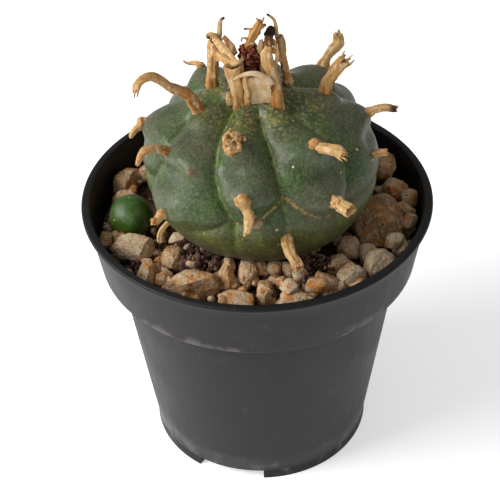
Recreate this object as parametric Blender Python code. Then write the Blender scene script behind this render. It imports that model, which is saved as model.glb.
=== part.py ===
"""Potted round cactus: a ribbed, spineless cactus in a plastic nursery pot of gravel.

Lengths are in metres, +Z is up, and the origin is on the ground under the pot's axis.
Run with: blender --background --python part.py
"""
import math
import random

import bmesh
import bpy
from mathutils import Vector

MM = 0.001
GAP = 0.3 * MM          # clearance between pieces that rest on each other

# Pot: driving dimensions
POT_RADIUS = 45.0 * MM          # outside of the lip
POT_HEIGHT = 75.3 * MM
WALL = 1.0 * MM
LIP_HEIGHT = 1.4 * MM
LIP_OVERHANG = 1.3 * MM         # how far the lip stands out past the collar
COLLAR_HEIGHT = 17.4 * MM       # from the lip's top down to the collar's lower edge
COLLAR_TAPER = 2.4 * MM
LEDGE = 4.1 * MM                # the collar's step in to the body
BASE_RADIUS = 29.5 * MM
FOOT_HEIGHT = 2.5 * MM
FOOT_WIDTH = 2.7 * MM
FLOOR_THICKNESS = 1.2 * MM
POT_SEGMENTS = 60
FOOT_COUNT = 3
FOOT_SPAN = 84.0                # degrees
FOOT_START = -90.0              # degrees, where the first foot begins
DRAIN_COUNT = 6
DRAIN_RADIUS = 3.0 * MM
DRAIN_CIRCLE = 19.0 * MM

COLLAR_TOP_RADIUS = POT_RADIUS - LIP_OVERHANG
COLLAR_LOW_RADIUS = COLLAR_TOP_RADIUS - COLLAR_TAPER
BODY_TOP_RADIUS = COLLAR_LOW_RADIUS - LEDGE
COLLAR_LOW = POT_HEIGHT - COLLAR_HEIGHT
FLOOR_TOP = FOOT_HEIGHT + FLOOR_THICKNESS
SHELF_TOP = COLLAR_LOW + WALL   # inside, above the collar's step

# Potting mix
MIX_TOP = 64.5 * MM
MIX_SEGMENTS = 40

# Stem: a flattened globe with a tap root
STEM_CENTRE = Vector((1.2, 0.0, 85.7)) * MM
STEM_RADIUS = 30.0 * MM
STEM_HALF_HEIGHT = 22.0 * MM
STEM_COLUMNS = 60
STEM_ROWS = 20
LOWEST_ANGLE = -62.0            # degrees, where the globe turns into the root
FURROW_DEPTH = 2.4 * MM
FURROW_WIDTH = 3.6 * MM
TUBERCLE_HEIGHT = 1.7 * MM
TUBERCLE_SPREAD = 13.0          # degrees
CROWN_SINK = 1.2 * MM
ROOT_PROFILE = ((9.0, 62.0), (6.8, 58.0), (4.4, 50.0), (2.2, 43.0))   # radius, height, mm
ROOT_TIP = 41.0 * MM

# Furrows between the ribs: (angle above the equator, bearing), degrees, crown to base
FURROWS = (
    ((75, -138), (50, -123), (36, -119), (20, -113), (0, -104)),
    ((75, -93), (50, -83), (30, -80), (15, -79), (0, -78)),
    ((75, -41), (50, -38), (34, -34), (18, -39), (0, -49)),
    ((75, 26), (50, 21), (30, 19), (0, 15)),
    ((75, 72), (50, 69), (30, 67), (0, 64)),
    ((75, 110), (50, 111), (30, 110), (0, 108)),
    ((75, 145), (50, 151), (30, 153), (0, 155)),
    ((75, -172), (50, -166), (34, -157), (15, -160), (0, -165)),
)

# Wool tufts and dried flower remains on the tubercles, from the crown outwards.
# name, bearing, angle above the equator (degrees), then millimetres: radius at the root,
# radius at the tip, and the middle and the end as (out, across, up) from the root.
TUFTS = (
    ("crown_column_left", 158, 66, 1.9, 0.9, (9.0, -1.5, 3.0), (16.0, -1.5, 8.0)),
    ("crown_column_front", -124, 73, 2.2, 2.0, (7.5, -0.5, -0.5), (12.5, 0.0, 0.0)),
    ("crown_column_right", -61, 71, 1.7, 0.9, (7.0, 0.0, 4.5), (13.0, 1.0, 10.0)),
    ("crown_column_back", 18, 75, 1.7, 1.2, (7.5, 1.0, 2.5), (15.0, 1.0, 4.5)),
    ("crown_tuft_behind", 86, 70, 1.5, 0.8, (6.0, 0.5, 1.5), (11.0, 1.5, 4.0)),
    ("arched_tuft_left", -162, 57, 1.7, 1.1, (9.0, 0.5, -1.0), (14.0, 1.5, -9.5)),
    ("shoulder_tuft_right", 1, 59, 1.7, 1.4, (5.5, -1.0, -0.5), (10.5, -1.0, -2.0)),
    ("shoulder_tuft_front", -110, 51, 1.8, 1.9, (2.0, 0.0, -0.5), (4.0, 0.0, -1.0)),
    ("shoulder_tuft_centre_right", -56, 45, 1.6, 1.6, (4.0, 1.0, -3.0), (6.0, 3.0, -6.5)),
    ("shoulder_tuft_back_right", 47, 42, 1.5, 1.4, (5.5, -1.0, -0.5), (10.0, 1.0, -2.0)),
    ("shoulder_tuft_back", 92, 46, 1.5, 1.1, (2.0, 0.0, -0.5), (4.0, 0.0, -1.0)),
    ("shoulder_tuft_back_left", 128, 42, 1.2, 0.7, (3.0, -1.0, -1.5), (4.5, 2.5, -3.5)),
    ("flank_tuft_right", 1, 33, 1.5, 1.1, (4.5, -1.0, -1.0), (8.5, -2.5, -2.5)),
    ("flank_tuft_left", -150, 33, 1.6, 1.0, (5.0, 0.5, -1.0), (9.0, 3.0, -5.0)),
    ("flank_tuft_far_left", 175, 27, 1.5, 0.9, (3.0, 2.0, -0.5), (4.5, 5.5, -2.5)),
    ("flank_tuft_front", -99, 22, 1.5, 1.3, (4.0, 1.0, -2.5), (6.5, 1.0, -5.5)),
    ("flank_tuft_front_right", -56, 14, 1.6, 1.5, (5.0, -0.5, -0.5), (9.0, -1.0, -1.0)),
    ("flank_tuft_far_right", -14, 16, 1.5, 1.2, (2.0, -0.5, -0.5), (4.0, -1.5, -1.0)),
    ("flank_tuft_back_right", 43, -3, 1.5, 1.1, (1.5, 0.0, -0.5), (3.0, 0.0, -1.0)),
    ("flank_tuft_back", 88, 14, 1.5, 1.2, (2.0, 0.0, -0.5), (4.0, -0.5, -1.0)),
    ("flank_tuft_back_left", 128, -4, 1.5, 1.0, (1.5, 0.0, -0.5), (3.5, 0.5, -1.5)),
    ("low_tuft_left", -138, -1, 1.5, 1.1, (2.5, 1.0, 0.5), (4.5, 2.0, 0.5)),
    ("low_tuft_bottom_left", -147, -22, 1.1, 0.9, (1.8, -0.5, -1.0), (3.2, -0.5, -2.2)),
    ("low_tuft_front", -79, -11, 1.4, 1.2, (3.0, 1.0, 0.5), (6.5, 2.0, 1.0)),
)
TUFT_SIDES = 8
TUFT_RINGS = 6
TUFT_FLARE = 0.25               # how much wider the root and the tip are than the waist

# Dried flower in the middle of the crown: radius and (x, y, z), mm, root to tip
FLOWER_STATIONS = (
    (2.0, (0.6, 0.6, 109.0)),
    (3.0, (-0.2, 0.4, 113.0)),
    (3.1, (-0.6, 0.2, 117.0)),
    (2.2, (-0.6, 0.1, 120.0)),
    (1.2, (0.9, 0.0, 123.6)),
    (0.7, (1.8, 0.0, 126.8)),
)

# Papery remains that stand as a sheet at the front of the crown
SHEET_BEARINGS = (-101.0, -81.0)
SHEET_ANGLE = 71.5
SHEET_HEIGHT = 7.0 * MM
SHEET_THICKNESS = 0.6 * MM
SHEET_STEPS = 6

# Offset pup among the stones at the left
PUP_CENTRE = Vector((-32.4, -2.2, 70.6)) * MM
PUP_RADIUS = 5.7 * MM

# Larger gravel stones: name, centre x, y, height of the underside, then length, width,
# height (mm) and turn (degrees)
STONES = (
    ("stone_back_left_long", -34.3, 17.0, 64.9, 9.6, 5.6, 5.8, 62),
    ("stone_left_flat", -34.2, 8.0, 64.9, 7.0, 5.4, 5.4, 15),
    ("stone_left_rim", -38.6, -8.4, 64.9, 4.2, 3.6, 4.6, 100),
    ("stone_left_blocky", -31.4, -13.0, 64.9, 10.6, 6.4, 6.6, -14),
    ("stone_front_left_small", -27.6, -22.6, 64.9, 5.2, 6.0, 6.2, 0),
    ("stone_front_left_rough", -21.6, -16.6, 64.9, 5.6, 6.0, 6.2, 20),
    ("stone_front_bean", -17.2, -27.6, 64.9, 13.4, 7.0, 7.4, 4),
    ("stone_front_leaning", -8.2, -24.6, 64.9, 3.8, 6.6, 6.8, 0),
    ("stone_front_tall", -3.0, -24.4, 64.9, 5.0, 5.6, 7.0, 0),
    ("stone_front_rim", -5.4, -33.2, 64.9, 8.4, 6.4, 4.8, 0),
    ("stone_front_pebble", 1.4, -30.4, 64.9, 4.4, 5.4, 5.6, 0),
    ("stone_front_right_rim", 9.0, -32.4, 64.9, 7.4, 6.0, 4.8, 8),
    ("stone_right_small", 16.2, -27.0, 64.9, 5.6, 5.6, 5.2, 30),
    ("stone_right_oval", 19.6, -19.6, 64.9, 6.0, 4.6, 4.6, 20),
    ("stone_right_pale", 22.6, -26.0, 64.9, 6.0, 6.0, 6.2, 40),
    ("stone_right_holed", 22.6, -14.4, 65.4, 5.6, 5.2, 5.2, 0),
    ("stone_right_wedge", 27.6, -15.8, 64.9, 4.2, 4.6, 5.4, 15),
    ("stone_right_pitted", 30.0, -21.4, 64.9, 8.6, 6.4, 7.2, 40),
    ("stone_right_big", 30.8, -7.2, 66.4, 10.6, 10.0, 8.0, 30),
    ("stone_right_cream", 36.0, -14.8, 64.9, 4.4, 5.0, 5.0, -20),
    ("stone_right_slate", 38.0, -1.0, 66.4, 4.8, 5.6, 5.2, 10),
    ("stone_right_rust", 36.6, 6.6, 66.8, 6.0, 6.4, 5.6, 0),
    ("stone_back_right_tan", 33.6, 17.0, 67.6, 6.4, 6.4, 5.6, 20),
    ("stone_back_left_round", -25.4, 26.2, 64.9, 6.4, 6.4, 5.4, 0),
    ("stone_back_bean", -8.0, 34.4, 64.9, 10.0, 6.8, 5.8, 8),
    ("stone_back_pale", 12.0, 33.6, 64.9, 8.6, 7.4, 6.0, -20),
)
STONE_CORNER = 3.2              # superellipsoid power: above 2 is blockier than an egg
STONE_ROUGHNESS = 0.09

COLOURS = {
    "pot": ((0.030, 0.029, 0.031), 0.42),
    "potting_mix": ((0.045, 0.028, 0.022), 0.95),
    "cactus_stem": ((0.070, 0.105, 0.065), 0.62),
    "offset_pup": ((0.050, 0.160, 0.030), 0.45),
    "tuft": ((0.520, 0.300, 0.120), 0.90),
    "flower": ((0.130, 0.045, 0.030), 0.95),
    "stone": ((0.430, 0.270, 0.140), 0.88),
}


def clear_scene():
    for obj in list(bpy.data.objects):
        bpy.data.objects.remove(obj, do_unlink=True)


def material(name):
    """One Principled BSDF material for each finish."""
    made = bpy.data.materials.get(name)
    if made is None:
        colour, roughness = COLOURS[name]
        made = bpy.data.materials.new(name)
        made.use_nodes = True
        shader = made.node_tree.nodes["Principled BSDF"]
        shader.inputs["Base Color"].default_value = (*colour, 1.0)
        shader.inputs["Roughness"].default_value = roughness
        shader.inputs["Metallic"].default_value = 0.0
    return made


def add_object(name, mesh_builder, finish, sharp_angle=None):
    """Turn a bmesh into a named object with its material and smooth shading."""
    bmesh.ops.recalc_face_normals(mesh_builder, faces=mesh_builder.faces)
    mesh = bpy.data.meshes.new(name)
    mesh_builder.to_mesh(mesh)
    mesh_builder.free()
    mesh.shade_smooth()
    if sharp_angle is not None:
        mesh.set_sharp_from_angle(angle=math.radians(sharp_angle))
    mesh.materials.append(material(finish))
    obj = bpy.data.objects.new(name, mesh)
    bpy.context.scene.collection.objects.link(obj)
    return obj


def stitch_rings(bm, rings):
    """Join neighbouring rings of vertices with quads; a single vertex makes a fan."""
    for lower, upper in zip(rings, rings[1:]):
        count = max(len(lower), len(upper))
        for i in range(count):
            j = (i + 1) % count
            if len(lower) == 1:
                bm.faces.new((lower[0], upper[j], upper[i]))
            elif len(upper) == 1:
                bm.faces.new((lower[i], lower[j], upper[0]))
            else:
                bm.faces.new((lower[i], lower[j], upper[j], upper[i]))


def turned(profile, segments):
    """A closed solid of revolution whose profile starts and ends on the axis."""
    bm = bmesh.new()
    rings = []
    for radius, height in profile:
        if radius == 0.0:
            rings.append([bm.verts.new((0.0, 0.0, height))])
            continue
        ring = []
        for i in range(segments):
            turn = 2.0 * math.pi * i / segments
            ring.append(bm.verts.new((radius * math.cos(turn), radius * math.sin(turn), height)))
        rings.append(ring)
    stitch_rings(bm, rings)
    return bm


def body_inner_radius(height):
    """Inside radius of the pot's tapered body at a height."""
    share = (height - FOOT_HEIGHT) / (COLLAR_LOW - FOOT_HEIGHT)
    return BASE_RADIUS + (BODY_TOP_RADIUS - BASE_RADIUS) * share - WALL


def collar_inner_radius(height):
    """Inside radius of the pot's collar at a height."""
    share = (height - COLLAR_LOW) / COLLAR_HEIGHT
    return COLLAR_LOW_RADIUS + COLLAR_TAPER * share - WALL


def build_pot():
    lip_low = POT_HEIGHT - LIP_HEIGHT
    lip_round = 0.4 * MM
    outside = [
        (0.0, FOOT_HEIGHT),
        (BASE_RADIUS - FOOT_WIDTH, FOOT_HEIGHT),
        (BASE_RADIUS, FOOT_HEIGHT),
        (BODY_TOP_RADIUS, COLLAR_LOW),
        (COLLAR_LOW_RADIUS, COLLAR_LOW),
        (COLLAR_TOP_RADIUS, lip_low),
        (POT_RADIUS - lip_round, lip_low + lip_round / 2),
        (POT_RADIUS, lip_low + 2 * lip_round),
        (POT_RADIUS - lip_round / 2, POT_HEIGHT - lip_round / 3),
    ]
    inside = [
        (POT_RADIUS - 2 * lip_round, POT_HEIGHT),
        (collar_inner_radius(POT_HEIGHT) + lip_round, POT_HEIGHT - lip_round / 3),
        (collar_inner_radius(lip_low), lip_low),
        (collar_inner_radius(SHELF_TOP), SHELF_TOP),
        (body_inner_radius(SHELF_TOP), SHELF_TOP),
        (body_inner_radius(FLOOR_TOP), FLOOR_TOP),
        (0.0, FLOOR_TOP),
    ]
    bm = turned(outside + inside, POT_SEGMENTS)
    add_feet(bm)
    pot = add_object("pot", bm, "pot", sharp_angle=35)
    cut_drain_holes(pot)


def add_feet(bm):
    """Draw the underside's outer ring down into three curved feet."""
    bm.faces.ensure_lookup_table()
    pitch = 360.0 / FOOT_COUNT
    ring_radius = BASE_RADIUS - FOOT_WIDTH / 2
    picked = []
    for face in bm.faces:
        centre = face.calc_center_median()
        on_underside = abs(centre.z - FOOT_HEIGHT) < GAP / 10
        if not on_underside or abs(math.hypot(centre.x, centre.y) - ring_radius) > FOOT_WIDTH / 4:
            continue
        bearing = math.degrees(math.atan2(centre.y, centre.x))
        if (bearing - FOOT_START) % pitch < FOOT_SPAN:
            picked.append(face)
    made = bmesh.ops.extrude_face_region(bm, geom=picked)
    verts = [item for item in made["geom"] if isinstance(item, bmesh.types.BMVert)]
    bmesh.ops.translate(bm, vec=(0.0, 0.0, -FOOT_HEIGHT), verts=verts)
    bmesh.ops.delete(bm, geom=picked, context="FACES_ONLY")


def cut_drain_holes(pot):
    """Drain holes through the floor, inside the feet."""
    bm = bmesh.new()
    for i in range(DRAIN_COUNT):
        turn = 2.0 * math.pi * i / DRAIN_COUNT
        made = bmesh.ops.create_cone(
            bm, cap_ends=True, segments=12, radius1=DRAIN_RADIUS, radius2=DRAIN_RADIUS,
            depth=6.0 * FLOOR_THICKNESS)
        place = (DRAIN_CIRCLE * math.cos(turn), DRAIN_CIRCLE * math.sin(turn), FOOT_HEIGHT)
        bmesh.ops.translate(bm, vec=place, verts=made["verts"])
    cutter = add_object("drain_hole_cutter", bm, "pot")
    cutter.hide_render = True
    cutter.display_type = "WIRE"
    holes = pot.modifiers.new("Drain holes", "BOOLEAN")
    holes.operation = "DIFFERENCE"
    holes.solver = "EXACT"
    holes.object = cutter


def build_potting_mix():
    """The mix that fills the pot under the gravel, with a socket for the root."""
    step_low = COLLAR_LOW - 2 * GAP
    step_high = SHELF_TOP + GAP
    profile = [
        (0.0, FLOOR_TOP + GAP),
        (body_inner_radius(FLOOR_TOP) - 2 * GAP, FLOOR_TOP + GAP),
        (body_inner_radius(step_low) - 2 * GAP, step_low),
        (body_inner_radius(step_low) - 2 * GAP, step_high),
        (collar_inner_radius(step_high) - 2 * GAP, step_high),
        (collar_inner_radius(MIX_TOP) - 2 * GAP, MIX_TOP),
    ]
    clearance = 2 * GAP
    neck_radius, neck_height = globe_neck()
    slope = (neck_radius - ROOT_PROFILE[0][0] * MM) / (neck_height - ROOT_PROFILE[0][1] * MM)
    mouth = neck_radius + slope * (MIX_TOP - neck_height)
    profile.append((mouth + 4 * clearance, MIX_TOP))
    for radius, height in ROOT_PROFILE:
        profile.append((radius * MM + clearance, height * MM - clearance))
    profile.append((0.0, ROOT_TIP - clearance))
    bm = turned(profile, MIX_SEGMENTS)
    mix = add_object("potting_mix", bm, "potting_mix", sharp_angle=40)
    for vert in mix.data.vertices:
        on_axis = math.hypot(vert.co.x, vert.co.y) < GAP
        in_socket = math.hypot(vert.co.x, vert.co.y) < mouth + 5 * clearance
        if in_socket and not on_axis and vert.co.z > FLOOR_TOP + 2 * GAP:
            vert.co.x += STEM_CENTRE.x
        elif on_axis and vert.co.z > FLOOR_TOP + 2 * GAP:
            vert.co.x += STEM_CENTRE.x


def furrow_bearing(furrow, angle):
    """Bearing of a furrow at an angle above the equator, smoothly between its points."""
    if angle >= furrow[0][0]:
        return furrow[0][1]
    for (high, first), (low, second) in zip(furrow, furrow[1:]):
        if angle >= low:
            share = (high - angle) / (high - low)
            turn = (second - first + 180.0) % 360.0 - 180.0
            return first + turn * share
    return furrow[-1][1]


def smooth_step(low, high, value):
    share = min(max((value - low) / (high - low), 0.0), 1.0)
    return share * share * (3.0 - 2.0 * share)


def angle_between(first, second):
    """Angle in degrees between two (bearing, angle above the equator) directions."""
    bearing_gap = math.radians(first[0] - second[0])
    low, high = math.radians(first[1]), math.radians(second[1])
    cosine = math.sin(low) * math.sin(high) + math.cos(low) * math.cos(high) * math.cos(bearing_gap)
    return math.degrees(math.acos(min(max(cosine, -1.0), 1.0)))


def stem_relief(bearing, angle):
    """How far the stem's skin stands out from the plain globe."""
    depth_share = smooth_step(-35.0, 15.0, angle) * (1.0 - smooth_step(68.0, 82.0, angle))
    ring = STEM_RADIUS * math.cos(math.radians(angle))
    nearest = 1.0
    for furrow in FURROWS:
        turn = (bearing - furrow_bearing(furrow, angle) + 180.0) % 360.0 - 180.0
        nearest = min(nearest, abs(math.radians(turn)) * ring)
    relief = -FURROW_DEPTH * depth_share * math.exp(-nearest / FURROW_WIDTH)
    for name, tuft_bearing, tuft_angle, *rest in TUFTS:
        away = angle_between((bearing, angle), (tuft_bearing, tuft_angle))
        share = 1.0 - smooth_step(55.0, 66.0, tuft_angle)
        relief += TUBERCLE_HEIGHT * share * math.exp(-(away / TUBERCLE_SPREAD) ** 2)
    return relief - CROWN_SINK * smooth_step(74.0, 90.0, angle)


def stem_point(bearing, angle):
    """A point on the stem's skin."""
    turn = math.radians(bearing)
    tilt = math.radians(angle)
    outward = Vector((math.cos(turn) * math.cos(tilt), math.sin(turn) * math.cos(tilt), math.sin(tilt)))
    plain = Vector((outward.x * STEM_RADIUS, outward.y * STEM_RADIUS, outward.z * STEM_HALF_HEIGHT))
    return STEM_CENTRE + plain + outward * stem_relief(bearing, angle)


def globe_neck():
    """Radius and height of the plain globe where the root begins."""
    tilt = math.radians(LOWEST_ANGLE)
    return (STEM_RADIUS * math.cos(tilt), STEM_CENTRE.z + STEM_HALF_HEIGHT * math.sin(tilt))


def build_stem():
    bm = bmesh.new()
    rings = [[bm.verts.new(stem_point(0.0, 90.0))]]
    for row in range(1, STEM_ROWS + 1):
        angle = 90.0 + (LOWEST_ANGLE - 90.0) * row / STEM_ROWS
        ring = []
        for column in range(STEM_COLUMNS):
            bearing = 360.0 * column / STEM_COLUMNS - 180.0
            ring.append(bm.verts.new(stem_point(bearing, angle)))
        rings.append(ring)
    for radius, height in ROOT_PROFILE:
        ring = []
        for column in range(STEM_COLUMNS):
            turn = 2.0 * math.pi * column / STEM_COLUMNS - math.pi
            x = STEM_CENTRE.x + radius * MM * math.cos(turn)
            ring.append(bm.verts.new((x, radius * MM * math.sin(turn), height * MM)))
        rings.append(ring)
    rings.append([bm.verts.new((STEM_CENTRE.x, 0.0, ROOT_TIP))])
    stitch_rings(bm, rings)
    add_object("cactus_stem", bm, "cactus_stem")


def skin_frame(bearing, angle):
    """Point on the skin with its outward, sideways and upward directions."""
    step = 1.5
    here = stem_point(bearing, angle)
    across = stem_point(bearing + step, angle) - stem_point(bearing - step, angle)
    upward = stem_point(bearing, angle + step) - stem_point(bearing, angle - step)
    out = across.cross(upward).normalized()
    across.normalize()
    return here, out, across, out.cross(across)


def tube(stations, first_direction, sides):
    """A closed tube through (point, radius) stations, its root square to a direction."""
    bm = bmesh.new()
    rings = []
    side_guide = first_direction.orthogonal().normalized()
    last = len(stations) - 1
    for i, (point, radius) in enumerate(stations):
        if i == 0:
            along = first_direction
        else:
            along = (stations[min(i + 1, last)][0] - stations[i - 1][0]).normalized()
        side_guide = (side_guide - along * side_guide.dot(along)).normalized()
        other = along.cross(side_guide)
        ring = []
        for k in range(sides):
            turn = 2.0 * math.pi * k / sides
            ring.append(bm.verts.new(
                point + (side_guide * math.cos(turn) + other * math.sin(turn)) * radius))
        rings.append(ring)
    stitch_rings(bm, rings)
    bm.faces.new(list(reversed(rings[0])))
    bm.faces.new(rings[-1])
    return bm


def build_tuft(name, bearing, angle, root_radius, tip_radius, middle, end):
    """One tuft, curving from the skin through its middle to its end."""
    here, out, across, upward = skin_frame(bearing, angle)
    root = here + out * 2 * GAP

    def place(offset):
        return root + (out * offset[0] + across * offset[1] + upward * offset[2]) * MM

    middle_point = place(middle)
    end_point = place(end)
    stations = []
    for i in range(TUFT_RINGS):
        share = i / (TUFT_RINGS - 1)
        point = root * ((1 - share) * (1 - 2 * share))
        point = point + middle_point * (4 * share * (1 - share))
        point = point + end_point * (share * (2 * share - 1))
        flare = 1.0 - TUFT_FLARE * math.sin(math.pi * share)
        stations.append((point, (root_radius + (tip_radius - root_radius) * share) * MM * flare))
    add_object(name, tube(stations, out, TUFT_SIDES), "tuft")


def build_crown_flower():
    stations = [(Vector(place) * MM, radius * MM) for radius, place in FLOWER_STATIONS]
    add_object("crown_dried_flower", tube(stations, Vector((0.0, 0.0, 1.0)), TUFT_SIDES), "flower")


def build_crown_sheet():
    """A thin curved sheet that stands between the two front columns."""
    bm = bmesh.new()
    rings = []
    for level in (0.0, 0.5, 1.0):
        front = []
        back = []
        for i in range(SHEET_STEPS + 1):
            bearing = SHEET_BEARINGS[0] + (SHEET_BEARINGS[1] - SHEET_BEARINGS[0]) * i / SHEET_STEPS
            here, out, across, upward = skin_frame(bearing, SHEET_ANGLE)
            foot = here + Vector((0.0, 0.0, 4 * GAP + SHEET_HEIGHT * level))
            inward = Vector((STEM_CENTRE.x - here.x, -here.y, 0.0)).normalized()
            front.append(bm.verts.new(foot))
            back.append(bm.verts.new(foot + inward * SHEET_THICKNESS))
        rings.append(front + list(reversed(back)))
    stitch_rings(bm, rings)
    bm.faces.new(list(reversed(rings[0])))
    bm.faces.new(rings[-1])
    add_object("crown_papery_sheet", bm, "tuft", sharp_angle=50)


def build_pup():
    bm = bmesh.new()
    bmesh.ops.create_uvsphere(bm, u_segments=20, v_segments=12, radius=PUP_RADIUS)
    bmesh.ops.translate(bm, vec=PUP_CENTRE, verts=bm.verts)
    add_object("offset_pup", bm, "offset_pup")


def build_stone(name, x, y, underside, length, width, height, turn, seed):
    """A worn stone: an egg pushed towards a block, then knocked about a little."""
    rng = random.Random(seed)
    bm = bmesh.new()
    bmesh.ops.create_icosphere(bm, subdivisions=2, radius=1.0)
    half = (length / 2 * MM, width / 2 * MM, height / 2 * MM)
    spin = math.radians(turn)
    for vert in bm.verts:
        direction = vert.co.normalized()
        power = sum(abs(part) ** STONE_CORNER for part in direction) ** (-1.0 / STONE_CORNER)
        reach = power * (1.0 - STONE_ROUGHNESS * rng.random())
        local = Vector((direction.x * half[0], direction.y * half[1], direction.z * half[2])) * reach
        vert.co = (
            x * MM + local.x * math.cos(spin) - local.y * math.sin(spin),
            y * MM + local.x * math.sin(spin) + local.y * math.cos(spin),
            underside * MM + half[2] + local.z)
    add_object(name, bm, "stone")


def main():
    clear_scene()
    build_pot()
    build_potting_mix()
    build_stem()
    build_pup()
    for tuft in TUFTS:
        build_tuft(*tuft)
    build_crown_flower()
    build_crown_sheet()
    for seed, stone in enumerate(STONES):
        build_stone(*stone, seed)


main()
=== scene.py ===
"""Potted round cactus: finishes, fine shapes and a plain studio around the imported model."""

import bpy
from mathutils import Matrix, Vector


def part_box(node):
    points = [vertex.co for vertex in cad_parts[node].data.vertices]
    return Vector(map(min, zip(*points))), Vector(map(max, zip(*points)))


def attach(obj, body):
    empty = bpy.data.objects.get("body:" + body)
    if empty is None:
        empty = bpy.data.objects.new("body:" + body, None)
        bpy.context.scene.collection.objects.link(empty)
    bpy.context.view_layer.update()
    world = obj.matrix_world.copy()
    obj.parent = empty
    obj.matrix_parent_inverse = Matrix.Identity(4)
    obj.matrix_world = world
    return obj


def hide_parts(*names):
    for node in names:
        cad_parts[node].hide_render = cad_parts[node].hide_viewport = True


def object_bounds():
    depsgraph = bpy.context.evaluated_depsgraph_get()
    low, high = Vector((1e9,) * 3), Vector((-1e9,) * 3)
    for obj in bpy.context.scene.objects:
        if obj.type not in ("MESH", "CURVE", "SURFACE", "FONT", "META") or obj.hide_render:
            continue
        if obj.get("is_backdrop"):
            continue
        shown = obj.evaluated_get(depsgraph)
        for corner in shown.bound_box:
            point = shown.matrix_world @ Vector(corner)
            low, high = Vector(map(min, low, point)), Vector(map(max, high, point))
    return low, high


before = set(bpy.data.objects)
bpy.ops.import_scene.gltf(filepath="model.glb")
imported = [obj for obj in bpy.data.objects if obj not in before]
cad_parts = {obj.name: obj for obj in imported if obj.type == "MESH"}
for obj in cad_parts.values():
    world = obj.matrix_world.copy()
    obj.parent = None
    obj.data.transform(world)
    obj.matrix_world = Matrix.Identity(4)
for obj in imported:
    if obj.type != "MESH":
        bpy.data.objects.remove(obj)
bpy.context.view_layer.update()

import itertools
import math
import random

import bmesh
import bpy
import numpy as np
from mathutils import Matrix, Vector

bl_info = {
    "name": "Potted Round Cactus",
    "version": (1, 0, 0),
    "blender": (4, 5, 0),
    "location": "View3D > Sidebar > Cactus",
    "description": "Builds a ribbed round cactus in a plastic pot of gravel, with its studio",
    "category": "Object",
}

MM = 0.001
BODY = "root"


def srgb(red, green, blue):
    """Linear colour from 0-255 screen values."""
    def channel(value):
        value /= 255.0
        return value / 12.92 if value <= 0.04045 else ((value + 0.055) / 1.055) ** 2.4
    return (channel(red), channel(green), channel(blue))


# ---------------------------------------------------------------- settings

def colour_setting(label, text, value):
    return bpy.props.FloatVectorProperty(
        name=label, description=text, subtype="COLOR", size=3, min=0.0, max=1.0, default=value)


def length_setting(label, text, value):
    return bpy.props.FloatProperty(
        name=label, description=text, default=value, min=0.0, subtype="DISTANCE", unit="LENGTH")


class PotSettings(bpy.types.PropertyGroup):
    colour: colour_setting("Plastic", "Colour of the moulded plastic", srgb(33, 32, 35))
    scuff: colour_setting("Scuff", "Colour of rubbed edges and dried dust", srgb(150, 140, 132))
    segments: bpy.props.IntProperty(
        name="Segments", description="Steps round the pot", default=180, min=60, max=720)
    edge: length_setting("Edge", "Rounding of the feet's and the rim's edges", 0.25 * MM)


class StemSettings(bpy.types.PropertyGroup):
    bloom: colour_setting("Bloom", "Waxy grey-green of the bulges", srgb(76, 80, 55))
    flesh: colour_setting("Flesh", "Green between the bulges", srgb(46, 80, 16))
    seam: colour_setting("Seam", "Pale line in the furrows", srgb(128, 144, 80))
    cork: colour_setting("Cork", "Yellowish cork near the crown and the base", srgb(150, 132, 70))
    skirt: colour_setting("Skirt", "Olive of the lower flank", srgb(68, 74, 22))
    columns: bpy.props.IntProperty(
        name="Columns", description="Steps round the stem", default=360, min=60, max=1000)
    rows: bpy.props.IntProperty(
        name="Rows", description="Steps from crown to root", default=210, min=40, max=800)
    pup: colour_setting("Offset", "Green of the young offset", srgb(52, 84, 26))


class WoolSettings(bpy.types.PropertyGroup):
    root: colour_setting("Root", "Orange-brown at the root of a tuft", srgb(168, 110, 46))
    tip: colour_setting("Tip", "Cream at the end of a tuft", srgb(200, 164, 112))
    # This colour also paints shade inside hollow tuft ends.
    burnt: colour_setting("Burnt", "Dark dried ends", srgb(46, 30, 24))
    flower: colour_setting("Flower", "Red-brown crumbs of the dried flower", srgb(136, 66, 44))
    paper: colour_setting("Paper", "Cream papery remains", srgb(216, 194, 160))


class GravelSettings(bpy.types.PropertyGroup):
    pale: colour_setting("Pale", "Pale stones", srgb(206, 184, 152))
    tan: colour_setting("Tan", "Tan stones", srgb(190, 154, 112))
    rust: colour_setting("Rust", "Rusty stain", srgb(184, 122, 62))
    brown: colour_setting("Brown", "The darkest stones", srgb(120, 88, 60))
    soil: colour_setting("Soil", "Dark potting mix", srgb(62, 44, 38))
    count: bpy.props.IntProperty(
        name="Small stones", description="How many small stones are strewn", default=520,
        min=0, max=3000)


class StageSettings(bpy.types.PropertyGroup):
    floor: colour_setting("Floor", "Pale studio floor", (0.93, 0.93, 0.93))
    floor_glow: bpy.props.FloatProperty(
        name="Floor glow", description="Light the white floor gives off itself", default=0.48, min=0.0)
    key_power: bpy.props.FloatProperty(
        name="Key", description="Power of the large soft light", default=11.5, unit="POWER")
    fill_power: bpy.props.FloatProperty(
        name="Fill", description="Power of the weak light at the right", default=0.15, unit="POWER")
    ambient: bpy.props.FloatProperty(
        name="Ambient", description="Brightness of the white surroundings", default=0.36, min=0.0)
    lens: bpy.props.FloatProperty(
        name="Lens", description="Focal length in millimetres", default=105.4, min=10.0)
    distance: length_setting("Distance", "From the camera to the point it looks at", 387.3 * MM)
    elevation: bpy.props.FloatProperty(
        name="Elevation", description="How far the camera looks down", subtype="ANGLE",
        default=math.radians(39.5))
    roll: bpy.props.FloatProperty(
        name="Roll", description="Small tilt of the camera", subtype="ANGLE",
        default=math.radians(-1.52))


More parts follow.
